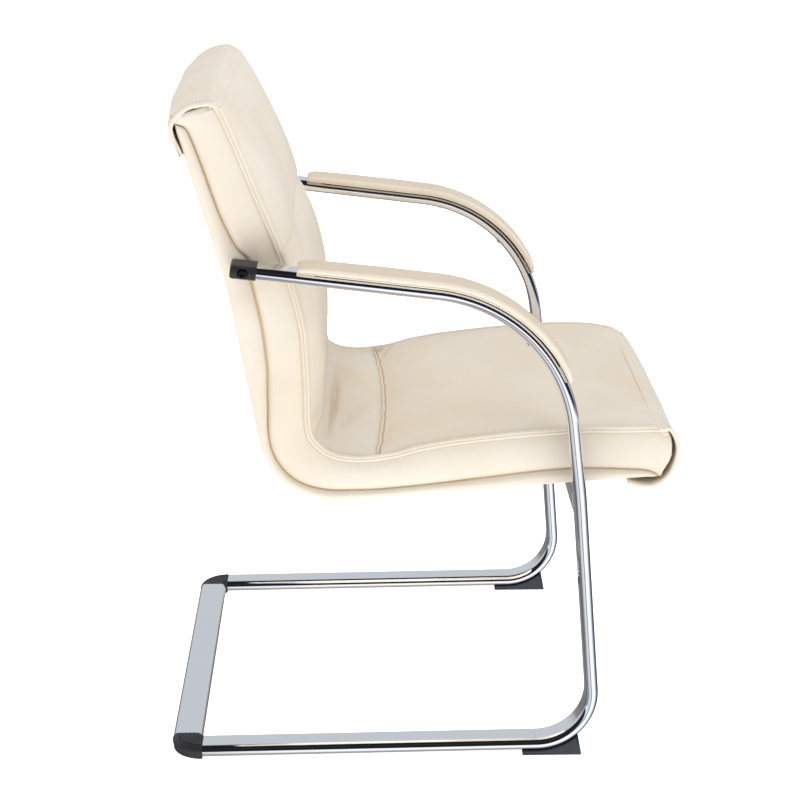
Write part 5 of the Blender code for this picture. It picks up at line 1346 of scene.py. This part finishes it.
def make_cushion(name, start, end):
    """One boxed cushion with its crowned face, welts and seam bands."""
    along, outs, heights, half_count, sewn = cushion_rings(start, end)
    places = along[:, None] + seam_shift(along[:, None], outs) + front_bulge(along[:, None], heights)
    grid = world(SHELL.place(places, heights), outs)
    count = outs.shape[1]
    face = slice(half_count, count - half_count)
    grid[:, face] += relax_face(along, outs[0, face], grid[:, face], sewn)
    # Painted shade in the creases along the cushion's edges, partly the dark dye of the sewn edge at the
    # roll's seam
    crease = np.zeros(outs.shape)
    for index in range(count):
        crease[:, index] = CREASE_DYE_AND_SHADE_COLUMNS.get(min(index, count - 1 - index), 0.0)
    # Painted shade in the pressed folds
    folds = fold_depth(along[:, None], outs[:, face]) * FOLD_SHADE
    crease[:, face] += np.clip(folds, 0.0, FOLD_SHADE_MOST)
    # Painted shade on the pinched boxing beside the arm joint
    pinch = bell(along - PINCH_SHARE * SHELL.length, PINCH_REACH)[:, None]
    for columns in PINCH_SHADE_COLUMNS:
        crease[:, columns] += PINCH_SHADE * pinch
    # Painted shade along the cross seams' join and stitch line
    for seam in sewn:
        away = (along - seam)[:, None]
        lines = (SEAM_SHADE * bell(away, SEAM_SHADE_REACH)
                 + SEAM_STITCH_SHADE * bell(away + SEAM_STITCH_AWAY, SEAM_SHADE_REACH))
        crease[:, face] = np.maximum(crease[:, face], lines * seam_strength(seam, outs[:, face]))
    piece = leather_piece(name, grid, crease, sharp_degrees=75)


def face_path(distance, across, ends):
    """Line of points on the cushions' face, for stitches."""
    distance, across = np.broadcast_arrays(np.asarray(distance, float), np.asarray(across, float))
    share = np.clip(np.abs(across) / FACE_HALF, 0.0, 1.0)
    height = smooth_height(distance, across) + STITCH_LIFT
    for end in ends:
        height = height + seam_relief(distance - end, share) * seam_strength(end, across)
    return world(SHELL.place(distance + seam_shift(distance, across), height), across)


def make_cushions():
    """The back, lumbar and seat cushions and the stitches of their cross seams and welts."""
    make_cushion("back_cushion", BOXING_START, BACK_SEAM)
    make_cushion("lumbar_cushion", BACK_SEAM, SEAT_SEAM)
    make_cushion("seat_cushion", SEAT_SEAM, BOXING_END)
    across = np.linspace(-FACE_HALF, FACE_HALF, SEAM_LINE_COUNT)[1:-1]
    rows = [face_path(seam - SEAM_STITCH_AWAY, across, (seam,)) for seam in (BACK_SEAM, SEAT_SEAM)]
    stitch_rows("cross_seam_stitches", rows)
    first, last = HOOD_START + WELT_LINE_GAP, SHELL.length - NOSE_START - WELT_LINE_GAP
    along = np.linspace(first, last, WELT_LINE_COUNT)
    out = FACE_HALF - WELT_LINE_INSET
    rows = [face_path(along, sign * out, (BACK_SEAM, SEAT_SEAM)) for _, sign in SIDES]
    stitch_rows("welt_stitches", rows)


def make_cover():
    """Leather behind and under the shell, with its padded edge roll."""
    along, full = rounded_stops(COVER_TOP, SHELL.length - COVER_FRONT, ALONG_STEP, COVER_END)
    lip = lip_rise(along)
    soft = sum(size * wobble(along, pitch, seed) for size, pitch, seed in ROLL_WOBBLES)
    middle, reach = (lip - COVER_OUTSIDE) / 2, (lip + COVER_OUTSIDE) / 2 * full
    edge = ROLL_HALF - ROLL_END_DRAW * (1 - full)
    half = [(share * ROLL_HALF, middle - reach + up) for share, up in COVER_COLUMNS]
    tallest = math.sin(math.radians(-ROLL_FIRST_TURN))
    for angle in np.radians(np.linspace(ROLL_FIRST_TURN, ROLL_LAST_TURN, ROLL_COLUMNS)):
        out = edge - ROLL_DEPTH * (1 - math.cos(angle) ** ROLL_FULLNESS) + soft * math.cos(angle)
        half.append((np.minimum(out, ROLL_HALF), middle + reach * math.sin(angle) / tallest))
    half += [(edge - inset, middle + reach * share) for inset, share in ROLL_LIP]
    outer, inner = [middle + reach * share for share in COVER_RECESS_SHARES]
    half += [(ROLL_HALF - PLY_EDGE, outer), (ROLL_HALF - PLY_EDGE, np.minimum(inner, COVER_RECESS_FLOOR))]
    outs = np.stack([np.broadcast_to(out, along.shape) for out, _ in half], 1)
    heights = np.stack([up for _, up in half], 1)
    outs, heights = np.hstack((outs, -outs[:, ::-1])), np.hstack((heights, heights[:, ::-1]))
    # Painted shade in the roll's seam crease, partly the dark dye of its sewn edge
    crease = np.zeros(outs.shape)
    seam = len(half) - len(ROLL_LIP) - len(COVER_RECESS_SHARES)
    crease[:, [seam, seam + 1, -seam - 1, -seam - 2]] = ROLL_SEAM_DYE_AND_SHADE
    grid = world(SHELL.place(along[:, None], heights), outs)
    piece = leather_piece("rear_cover", grid, crease, sharp_degrees=70)


def inward(outline):
    """Unit directions into a closed outline of (along, depth) points, at each of its points."""
    run = np.roll(outline, -1, axis=0) - np.roll(outline, 1, axis=0)
    run /= np.maximum(np.linalg.norm(run, axis=1), TINY)[:, None]
    area = np.sum(outline[:, 0] * np.roll(outline[:, 1], -1) - outline[:, 1] * np.roll(outline[:, 0], -1))
    return np.stack((-run[:, 1], run[:, 0]), -1) * math.copysign(1.0, area)


def wrap_face(wrap, past, across):
    """Height of the cushion's face at distances past the shell's end, which are negative on the shell."""
    return face_height(wrap.end + wrap.outward * np.atleast_2d(past), np.atleast_2d(across))[0]


def wrap_place(wrap, ring):
    """Side-view points from rows of (past the shell's end, depth)."""
    return SHELL.place(wrap.end + wrap.outward * ring[:, 0], ring[:, 1])


def wrap_line(wrap, across):
    """Outer outline of a wrap at a place across the chair, from the cushion's face to the hem."""
    share = min(1.0, abs(across) / (ROLL_HALF - WRAP_OVERHANG)) ** wrap.power
    side = wrap.far if across > 0 else wrap.edge
    rows = np.array(wrap.middle) * (1 - share) + np.array(side) * share
    inner = min(abs(across), FACE_HALF) * (1 if across > 0 else -1)
    leads = -np.array((wrap.start + WRAP_LEAD, wrap.start))
    on_face = np.stack((leads, wrap_face(wrap, leads, (inner, inner)) - (WRAP_SINK, 0.0)), -1)
    rows[0, 1] = wrap_face(wrap, rows[0, 0], inner)[0]
    return through(np.vstack((on_face, rows)), np.linspace(0, 1, WRAP_COUNT))


def wrap_grid(wrap):
    """Strip of folded leather across the chair, as thick as its hem, with rounded side edges."""
    half = ROLL_HALF - WRAP_OVERHANG
    stops, full = rounded_stops(-half, half, ACROSS_STEP, HEM_ROUNDING)
    soft = wobble(stops, WRAP_WOBBLE_PITCH, wrap.seed) * WRAP_WOBBLE
    rows = []
    for out, fullness, lift in zip(stops, full, soft):
        outer = wrap_line(wrap, out)
        run = np.gradient(outer, axis=0)
        run /= np.linalg.norm(run, axis=1)[:, None]
        normal = np.stack((run[:, 1], -run[:, 0]), -1)
        normal *= -np.sign(np.sum(normal[WRAP_TEST_ROW] * (np.array(WRAP_INSIDE) - outer[WRAP_TEST_ROW])))
        fade = np.clip(np.arange(len(outer)) / WRAP_FADE_COUNT, 0.0, 1.0)[:, None]
        outer = outer + normal * lift * fade
        thin = HEM_ROUNDING * (1 - fullness)
        inner = outer - normal * (WRAP_SKIN - thin)
        hem = (outer[-1] + inner[-1]) / 2 + run[-1] * WRAP_SKIN * HEM_BULGE * fullness
        outer = outer - normal * thin * fade
        ring = np.vstack((outer, [hem], inner[::-1]))
        rows.append(world(wrap_place(wrap, ring), np.float64(out)))
    return np.array(rows)


def make_wraps():
    """The hood over the top of the back and the nose round the front of the seat, and their hem stitches."""
    rows = []
    inset = HEM_STITCH_INSET
    for wrap in WRAPS:
        grid = wrap_grid(wrap)
        piece = leather_piece(wrap.name, grid, np.zeros(grid.shape[:2]), sharp_degrees=60, flat_ends=True)
        for sign in (-1, 1):
            out = sign * (ROLL_HALF - WRAP_OVERHANG - inset)
            rows.append(world(wrap_place(wrap, wrap_line(wrap, out)[HEM_SIDE_LINE]), np.float64(out)))
        across = np.linspace(-ROLL_HALF + 2 * inset, ROLL_HALF - 2 * inset, HEM_LINE_COUNT)
        hem = np.array([wrap_line(wrap, out)[HEM_LINE_POINT] for out in across])
        rows.append(world(wrap_place(wrap, hem), across))
    stitch_rows("hem_stitches", rows)


# Arms

def make_arm_pads(tube):
    """Crowned leather pads on the arms, with a hem along the bottom edge."""
    line = frame_line(tube)
    distance, full = rounded_stops(PAD_START, PAD_START + PAD_LENGTH, PAD_STEP, PAD_END_ROUND)
    tall = PAD_HEIGHT * smooth_read(PAD_HEIGHT_SHARES, (distance - PAD_START) / PAD_LENGTH)
    tall = tall * (PAD_END_HEIGHT + (1 - PAD_END_HEIGHT) * full ** PAD_END_HEIGHT_POWER)
    wide = PAD_WIDTH / 2 * (PAD_END_WIDTH + (1 - PAD_END_WIDTH) * full ** PAD_END_WIDTH_POWER)
    section = through(np.array(PAD_SECTION_SHARES), np.linspace(0, 1, PAD_COLUMNS))
    level = section[:, 1]
    low = tube.depth / 2 + TOUCH_GAP
    for number, (side, sign) in enumerate(SIDES):
        soft = PAD_WOBBLE * wobble(distance, PAD_WOBBLE_PITCH, seed=20 + number)
        outs = wide[:, None] * section[None, :, 0] + (soft[:, None] * (level > PAD_HEM_LEVEL))
        heights = low + tall[:, None] * level
        outs = np.hstack((outs, -outs[:, -2::-1]))
        heights = np.hstack((heights, heights[:, -2::-1]))
        # Painted shade: dark lines in the pad's creases
        crease = np.zeros(outs.shape)
        for height, shade in PAD_CREASE_SHADES:
            column = (level > height).argmax()
            crease[:, [column, -column]] = shade
        # Painted shade that darkens the pad's top above the crown's level
        crown = (level > PAD_CROWN_LEVEL).argmax()
        crease[:, crown + 1:-crown] = np.maximum(crease[:, crown + 1:-crown], PAD_CROWN_SHADE)
        grid = world(line.place(distance[:, None], heights), outs + sign * FRAME_HALF)
        piece = leather_piece("arm_pad_" + side, grid, crease, sharp_degrees=65)


def flat_oval(half_width, half_depth):
    """Closed flat-oval outline as (across, up) points."""
    straight = half_width - half_depth
    turn = np.linspace(-math.pi / 2, math.pi / 2, OVAL_ROUND_COUNT)
    right = np.stack((straight + half_depth * np.cos(turn), half_depth * np.sin(turn)), -1)
    return np.vstack((right, -right))


def make_arm_ends(tube):
    """Black sleeves on the arms' rear ends and the button-head bolts through them."""
    line = frame_line(tube)
    out_shift = (CAP_OUTER_WALL - CAP_WALL) / 2
    half_width = tube.width / 2 + TOUCH_GAP + (CAP_WALL + CAP_OUTER_WALL) / 2
    half_depth = tube.depth / 2 + TOUCH_GAP + CAP_WALL
    back = -(TOUCH_GAP + CAP_END_WALL)
    front = back + CAP_LENGTH
    drop = CAP_ROUNDING * CAP_ROUNDING_SHARE
    profile = [(back + CAP_ROUNDING * (1 - math.sin(turn)), drop * (1 - math.cos(turn)))
               for turn in np.linspace(math.pi / 2, 0, CAP_ROUND_COUNT)]
    for share in CAP_GROOVES:
        middle = back + CAP_LENGTH * share
        profile += [(middle - CAP_GROOVE_HALF, 0.0), (middle - CAP_GROOVE_FLOOR, CAP_GROOVE_DEPTH),
                    (middle + CAP_GROOVE_FLOOR, CAP_GROOVE_DEPTH), (middle + CAP_GROOVE_HALF, 0.0)]
    profile += [(front - CAP_LIP_LENGTH, 0.0), (front, CAP_LIP_DEPTH), (front, CAP_WALL),
                (front - CAP_REACH_IN, CAP_WALL)]
    rise = BOLT_HEAD_HEIGHT - BOLT_HEAD_RIM
    bolt_profile = [(BOLT_SHANK_RADIUS, -BOLT_REACH), (BOLT_SHANK_RADIUS, 0.0), (BOLT_HEAD_RADIUS, 0.0),
                    (BOLT_HEAD_RADIUS, BOLT_HEAD_RIM)]
    for turn in np.linspace(BOLT_HEAD_FIRST_TURN, 1.0, BOLT_HEAD_COUNT) * math.pi / 2:
        drawn = (BOLT_HEAD_RADIUS - HEX_KEY_RADIUS - BOLT_HEAD_FLAT) * (1 - math.cos(turn))
        bolt_profile.append((BOLT_HEAD_RADIUS - drawn, BOLT_HEAD_RIM + rise * math.sin(turn)))
    recess = [(CAP_RECESS_RADIUS, 0.0), (CAP_RECESS_RADIUS, CAP_OUTER_WALL + CUT_EXTRA)]
    socket = [(HEX_KEY_RADIUS, BOLT_HEAD_HEIGHT - HEX_KEY_DEPTH),
              (HEX_KEY_RADIUS, BOLT_HEAD_HEIGHT + CUT_EXTRA)]
    seat = FRAME_HALF + tube.width / 2 + TOUCH_GAP
    for side, sign in SIDES:
        rings = []
        for distance, inset in profile:
            outline = flat_oval(half_width - inset, half_depth - inset)
            side_points = line.place(np.full(len(outline), distance), outline[:, 1])
            rings.append(world(side_points, sign * (FRAME_HALF + out_shift + outline[:, 0])))
        centre = Vector((sign * seat, CHAIR_Y - ARM_BOLT.x, ARM_BOLT.y))
        outward = (sign, 0, 0)
        name = "arm_end_cap_" + side
        cap = lofted(name, rings, "plastic", sharp_degrees=50)
        cut(cap, turned_piece("recess", recess, centre, outward, "plastic", steps=40))
        cap.data.set_sharp_from_angle(angle=math.radians(40))
        settle(cap, "black_plastic", name)
        name = "arm_bolt_" + side
        bolt = turned_piece(name, bolt_profile, centre, outward, "black_steel")
        cut(bolt, turned_piece("key", socket, centre, outward, "black_steel", steps=6))
        settle(bolt, "black_steel", name)


# Floor fittings

def elbow_outline(tube):
    """Section of the corner elbow: a ribbed flat-oval top on a skirt that stands on the floor."""
    half_width = tube.width / 2 + ELBOW_PROUD
    half_depth = tube.depth / 2 + ELBOW_PROUD
    low = -(RUNNER_REAR_LIFT + tube.depth / 2)
    straight = half_width - half_depth
    pitch = 2 * straight / ELBOW_RIBS
    top = [(straight - pitch * rib - pitch * share, half_depth - ELBOW_GROOVE_DEPTH * down)
           for rib in range(ELBOW_RIBS) for share, down in ELBOW_RIB]
    top.append((-straight, half_depth - ELBOW_GROOVE_DEPTH))
    turn = np.linspace(0, math.pi / 2, ELBOW_ROUND_COUNT)[:-1]
    foot = half_width - ELBOW_FOOT_INSET
    right = [(foot, low), (foot, low * ELBOW_FOOT_TOP),
             (half_width - ELBOW_SKIRT_INSET, low * ELBOW_SKIRT_TOP)]
    right += [(straight + half_depth * math.cos(a), half_depth * math.sin(a)) for a in turn]
    return np.array(right + top + [(-x, z) for x, z in right[::-1]])


def glide_outline(tube):
    """Side view of a glide: the wedge between the floor and the runner with its front bend."""
    line = frame_line(tube)
    runner = line.place(np.linspace(0, line.length, GLIDE_LINE_COUNT), tube.depth / 2 + TOUCH_GAP)
    forward = runner[:, 0]
    lower_half = np.arange(GLIDE_LINE_COUNT) > GLIDE_LINE_COUNT // 2
    wedge = runner[lower_half & (forward >= GLIDE_REAR) & (forward <= GLIDE_FRONT + GLIDE_NOSE)]
    wedge = wedge[wedge[:, 1] < GLIDE_TOP]
    return np.vstack(([(GLIDE_FRONT, 0.0)], wedge[::GLIDE_LINE_SKIP], wedge[-1:], [(GLIDE_REAR, 0.0)]))


def make_floor_fittings(tube):
    """Ribbed corner elbows, and the wedge glides under the front bends."""
    outline = elbow_outline(tube)
    height = RUNNER_REAR_LIFT + tube.depth / 2
    inside = FRAME_HALF - tube.width / 2
    reach = ELBOW_MIDDLE + outline[:, 0]
    for side, sign in SIDES:
        rings = []
        for turn in np.linspace(0, math.pi / 2, ELBOW_STEPS):
            across = sign * (inside - ELBOW_RADIUS + reach * math.cos(turn))
            rings.append(np.stack((across, CHAIR_Y + reach * math.sin(turn), height + outline[:, 1]), -1))
        name = "corner_cap_" + side
        settle(lofted(name, rings, "plastic", sharp_degrees=24), "black_plastic", name)
    outline = glide_outline(tube)
    stops, full = rounded_stops(-GLIDE_WIDTH / 2, GLIDE_WIDTH / 2, GLIDE_STEP, GLIDE_ROUNDING)
    for side, sign in SIDES:
        rings = [world(outline + inward(outline) * GLIDE_ROUNDING * (1 - fullness),
                       np.float64(sign * (FRAME_HALF + out))) for out, fullness in zip(stops, full)]
        name = "glide_" + side
        piece = lofted(name, rings, "rubber", sharp_degrees=30, flat_ends=True)
        screw_low, screw_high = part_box("glide_screw_" + side)
        middle = (screw_low + screw_high) / 2
        recess = [(SCREW_RECESS_RADIUS, -SCREW_RECESS_BELOW), (SCREW_RECESS_RADIUS, screw_low.z)]
        cut(piece, turned_piece("recess", recess, (middle.x, middle.y, 0.0), (0, 0, 1), "rubber", steps=24))
        settle(piece, "black_rubber", name)


def finish_kept_nodes():
    """Give the fasteners, plates and plywood that stay as CAD pieces their full finishes."""
    finishes = {"zinc_steel": "zinc", "black_plastic": "plastic", "birch_plywood": "plywood"}
    for part in FRAME["record"]["subparts"]:
        node = FRAME["nodes"][part["node"]]
        if not node.hide_render and part["material_slot"] in finishes:
            node.data.materials.clear()
            node.data.materials.append(material(finishes[part["material_slot"]]))


# Studio

def camera_matrix():
    """Place and turn of the camera in the photograph."""
    cos_up, sin_up = math.cos(CAMERA_ELEVATION), math.sin(CAMERA_ELEVATION)
    cos_side, sin_side = math.cos(CAMERA_AZIMUTH), math.sin(CAMERA_AZIMUTH)
    forward = Vector((cos_up * cos_side, -cos_up * sin_side, -sin_up))
    right = Vector((-sin_side, -cos_side, 0.0))
    up = right.cross(forward)
    place = Vector((-CAMERA_DISTANCE, CHAIR_Y - CAMERA_FORWARD, CAMERA_HEIGHT))
    rows = [(right[axis], up[axis], -forward[axis], place[axis]) for axis in range(3)]
    return Matrix(rows + [(0, 0, 0, 1)])


def make_camera():
    data = bpy.data.cameras.new("photo_camera")
    data.lens = CAMERA_LENS
    data.sensor_width = CAMERA_SENSOR
    data.clip_start, data.clip_end = CAMERA_CLIP
    camera = linked_object("photo_camera", data)
    camera.matrix_world = camera_matrix()
    bpy.context.scene.camera = camera


def soft_light(name, place, size, power, color):
    """Square area light that faces the middle of the chair and isn't mirrored by the chrome."""
    data = bpy.data.lights.new(name, "AREA")
    data.shape = "SQUARE"
    data.size = size
    data.energy = power
    data.color = color
    light = linked_object(name, data)
    light.location = place
    light.rotation_euler = (Vector(LIGHT_TARGET) - Vector(place)).to_track_quat("-Z", "Y").to_euler()
    light.visible_glossy = False


def floor_material(glow):
    """White studio floor, lifted towards white with a little light of its own."""
    nodes = Nodes("studio_floor")
    speck = nodes.noise(3.0, 2.0)
    nodes.color(nodes.mixed(speck, "Fac", (0.9, 0.9, 0.9), (0.92, 0.92, 0.92)))
    nodes.set(roughness=0.9, specular_ior_level=0.1, emission_color=WHITE, emission_strength=glow)
    return nodes.finish()


# What the chrome mirrors, as stops of its ramps: towards the camera and away from it by height, and the
# ground by its bearing
NEAR_ROOM = ((0.408, (1.12, 1.13, 1.15)), (0.43, (0.34, 0.42, 0.6)), (0.446, (0.09, 0.14, 0.28)),
             (0.462, (0.014, 0.018, 0.03)), (0.835, (0.012, 0.012, 0.015)), (0.85, (0.11, 0.105, 0.09)),
             (0.865, (0.012, 0.012, 0.015)), (1.0, (0.012, 0.012, 0.015)))
FAR_ROOM = ((0.455, (0.25, 0.24, 0.23)), (0.5, (0.45, 0.47, 0.5)), (0.58, (0.6, 0.63, 0.67)),
            (0.76, (0.6, 0.63, 0.67)), (0.84, (0.34, 0.35, 0.37)), (0.92, (0.02, 0.02, 0.024)),
            (1.0, (0.012, 0.012, 0.015)))
GROUND = ((0.0, (1.1, 1.11, 1.13)), (0.15, (1.1, 1.11, 1.13)), (0.185, (0.6, 0.62, 0.66)),
          (0.225, (0.24, 0.31, 0.44)), (0.265, (0.09, 0.1, 0.12)), (0.4, (0.1, 0.1, 0.1)),
          (0.5, (0.26, 0.25, 0.24)), (0.62, (0.14, 0.14, 0.15)), (0.78, (0.14, 0.15, 0.16)),
          (0.83, (0.6, 0.62, 0.67)), (0.936, (0.84, 0.87, 0.93)), (0.956, (0.06, 0.09, 0.18)),
          (0.975, (0.14, 0.18, 0.28)), (0.99, (1.0, 1.01, 1.03)), (1.0, (1.1, 1.11, 1.13)))
UNDERFOOT = (0.42, 0.38, 0.34)
WHITE = (1.0, 1.0, 1.0, 1.0)
SOFT_WHITE = (0.985, 0.99, 1.0, 1.0)
ROOM_EDGE = (-0.12, 0.12)
GROUND_EDGE = (-0.23, -0.18)
UNDERFOOT_EDGE = (-0.94, -0.7)


class WorldNodes(Nodes):
    """Node tree of the world, empty at first."""

    def __init__(self, name):
        self.world = bpy.data.worlds.new(name)
        self.world.use_nodes = True
        self.tree = self.world.node_tree
        self.tree.nodes.clear()
        self.coordinates = self.add("ShaderNodeTexCoord")

    def ramp(self, source, output, stops):
        """Colour ramp with its stops."""
        node = self.add("ShaderNodeValToRGB")
        elements = node.color_ramp.elements
        elements[0].position, elements[1].position = stops[0][0], stops[-1][0]
        elements[0].color, elements[1].color = (*stops[0][1], 1.0), (*stops[-1][1], 1.0)
        for place, color in stops[1:-1]:
            elements.new(place).color = (*color, 1.0)
        self.join(source, output, node, 0)
        return node

    def blend(self, source, output, first, second):
        """Mix of two nodes' colours by a value."""
        node = self.add("ShaderNodeMix", data_type="RGBA")
        self.join(source, output, node, 0)
        self.join(first, 2 if first.bl_idname == "ShaderNodeMix" else 0, node, 6)
        self.join(second, 2 if second.bl_idname == "ShaderNodeMix" else 0, node, 7)
        return node

    def shaded(self, source, output, first, second):
        """Mix of two shaders by a value."""
        node = self.add("ShaderNodeMixShader")
        self.join(source, output, node, 0)
        self.join(first, 0, node, 1)
        self.join(second, 0, node, 2)
        return node


def make_world(ambient):
    """White for the camera, soft white light all round and a striped pale and dark room for reflections."""
    nodes = WorldNodes("studio")
    split = nodes.add("ShaderNodeSeparateXYZ")
    bearing = nodes.add("ShaderNodeTexGradient", gradient_type="RADIAL")
    nodes.join(nodes.coordinates, "Generated", split, 0)
    nodes.join(nodes.coordinates, "Generated", bearing, 0)
    height = nodes.ranged(split, "Z", 0.0, 1.0, -1.0, 1.0)
    side = nodes.ranged(split, "X", 0.0, 1.0, *ROOM_EDGE)
    above = nodes.ranged(split, "Z", 0.0, 1.0, *GROUND_EDGE)
    down = nodes.ranged(split, "Z", 1.0, 0.0, *UNDERFOOT_EDGE)
    straight_down = nodes.add("ShaderNodeRGB")
    straight_down.outputs[0].default_value = (*UNDERFOOT, 1.0)
    walls = nodes.blend(side, 0, nodes.ramp(height, 0, NEAR_ROOM), nodes.ramp(height, 0, FAR_ROOM))
    ground = nodes.blend(down, 0, nodes.ramp(bearing, "Fac", GROUND), straight_down)
    room = nodes.add("ShaderNodeBackground", {"Strength": 1.0})
    nodes.join(nodes.blend(above, 0, ground, walls), 2, room, "Color")
    white = nodes.add("ShaderNodeBackground", {"Strength": 1.0, "Color": WHITE})
    soft = nodes.add("ShaderNodeBackground", {"Strength": ambient, "Color": SOFT_WHITE})
    path = nodes.add("ShaderNodeLightPath")
    seen = nodes.shaded(path, "Is Glossy Ray", soft, room)
    output = nodes.add("ShaderNodeOutputWorld")
    nodes.join(nodes.shaded(path, "Is Camera Ray", seen, white), 0, output, "Surface")
    bpy.context.scene.world = nodes.world


def make_studio(values):
    """Floor, lights, world and camera."""
    mesh = bpy.data.meshes.new("floor")
    corners = [(x * FLOOR_REACH, y * FLOOR_REACH, 0.0) for x, y in ((-1, -1), (1, -1), (1, 1), (-1, 1))]
    mesh.from_pydata(corners, [], [(0, 1, 2, 3)])
    mesh.materials.append(floor_material(values.floor_glow))
    floor = linked_object("floor", mesh)
    floor.visible_glossy = False
    make_world(values.ambient)
    for name, place, size, color in LIGHTS:
        soft_light(name + "_light", place, size, getattr(values, name), color)
    make_camera()
    bpy.context.scene.view_settings.view_transform = "Standard"


# Operators and panel

class CHAIR_OT_frame(bpy.types.Operator):
    """Make the chromed side frames and crossbars"""
    bl_idname = "chair.frame"
    bl_label = "Chrome Frame"

    def execute(self, context):
        make_frame(context.scene.chair_tube)
        return {"FINISHED"}


class CHAIR_OT_cushions(bpy.types.Operator):
    """Make the boxed back, lumbar and seat cushions"""
    bl_idname = "chair.cushions"
    bl_label = "Cushions"

    def execute(self, context):
        make_cushions()
        return {"FINISHED"}


class CHAIR_OT_cover(bpy.types.Operator):
    """Make the leather cover behind the shell, with its edge roll"""
    bl_idname = "chair.cover"
    bl_label = "Rear Cover"

    def execute(self, context):
        make_cover()
        return {"FINISHED"}


class CHAIR_OT_wraps(bpy.types.Operator):
    """Make the hood over the back and the nose round the seat"""
    bl_idname = "chair.wraps"
    bl_label = "Hood and Nose"

    def execute(self, context):
        make_wraps()
        return {"FINISHED"}


class CHAIR_OT_arm_pads(bpy.types.Operator):
    """Make the leather arm pads"""
    bl_idname = "chair.arm_pads"
    bl_label = "Arm Pads"

    def execute(self, context):
        make_arm_pads(context.scene.chair_tube)
        return {"FINISHED"}


class CHAIR_OT_arm_ends(bpy.types.Operator):
    """Make the sleeves and bolts at the arms' rear ends"""
    bl_idname = "chair.arm_ends"
    bl_label = "Arm Ends"

    def execute(self, context):
        make_arm_ends(context.scene.chair_tube)
        return {"FINISHED"}


class CHAIR_OT_floor_fittings(bpy.types.Operator):
    """Make the corner elbows and the glides"""
    bl_idname = "chair.floor_fittings"
    bl_label = "Floor Fittings"

    def execute(self, context):
        make_floor_fittings(context.scene.chair_tube)
        return {"FINISHED"}


class CHAIR_OT_fasteners(bpy.types.Operator):
    """Finish the fasteners, plates and plywood"""
    bl_idname = "chair.fasteners"
    bl_label = "Fasteners and Plywood"

    def execute(self, context):
        finish_kept_nodes()
        return {"FINISHED"}


class CHAIR_OT_studio(bpy.types.Operator):
    """Make the floor, lights, world and camera"""
    bl_idname = "chair.studio"
    bl_label = "Studio"

    def execute(self, context):
        make_studio(context.scene.chair_studio)
        return {"FINISHED"}


OPERATORS = (CHAIR_OT_frame, CHAIR_OT_cover, CHAIR_OT_cushions, CHAIR_OT_wraps, CHAIR_OT_arm_pads,
             CHAIR_OT_arm_ends, CHAIR_OT_floor_fittings, CHAIR_OT_fasteners, CHAIR_OT_studio)
GROUPS = (("chair_tube", TubeSizes), ("chair_sewing", SewingSizes), ("chair_finishes", Finishes),
          ("chair_studio", StudioValues))


class CHAIR_PT_panel(bpy.types.Panel):
    """Buttons and values of the chair"""
    bl_idname = "CHAIR_PT_panel"
    bl_label = "Conference Chair"
    bl_space_type = "VIEW_3D"
    bl_region_type = "UI"
    bl_category = "Chair"

    def draw(self, context):
        for operator in OPERATORS:
            self.layout.operator(operator.bl_idname)
        for name, group in GROUPS:
            box = self.layout.box()
            for value in group.__annotations__:
                box.prop(getattr(context.scene, name), value)


CLASSES = tuple(group for _, group in GROUPS) + OPERATORS + (CHAIR_PT_panel,)


def register():
    for cls in CLASSES:
        bpy.utils.register_class(cls)
    for name, group in GROUPS:
        setattr(bpy.types.Scene, name, PointerProperty(type=group))


def unregister():
    for name, _ in GROUPS:
        delattr(bpy.types.Scene, name)
    for cls in reversed(CLASSES):
        bpy.utils.unregister_class(cls)


def main():
    register()
    bpy.ops.chair.frame()
    bpy.ops.chair.cover()
    bpy.ops.chair.cushions()
    bpy.ops.chair.wraps()
    bpy.ops.chair.arm_pads()
    bpy.ops.chair.arm_ends()
    bpy.ops.chair.floor_fittings()
    bpy.ops.chair.fasteners()
    bpy.ops.chair.studio()


if __name__ == "__main__":
    main()
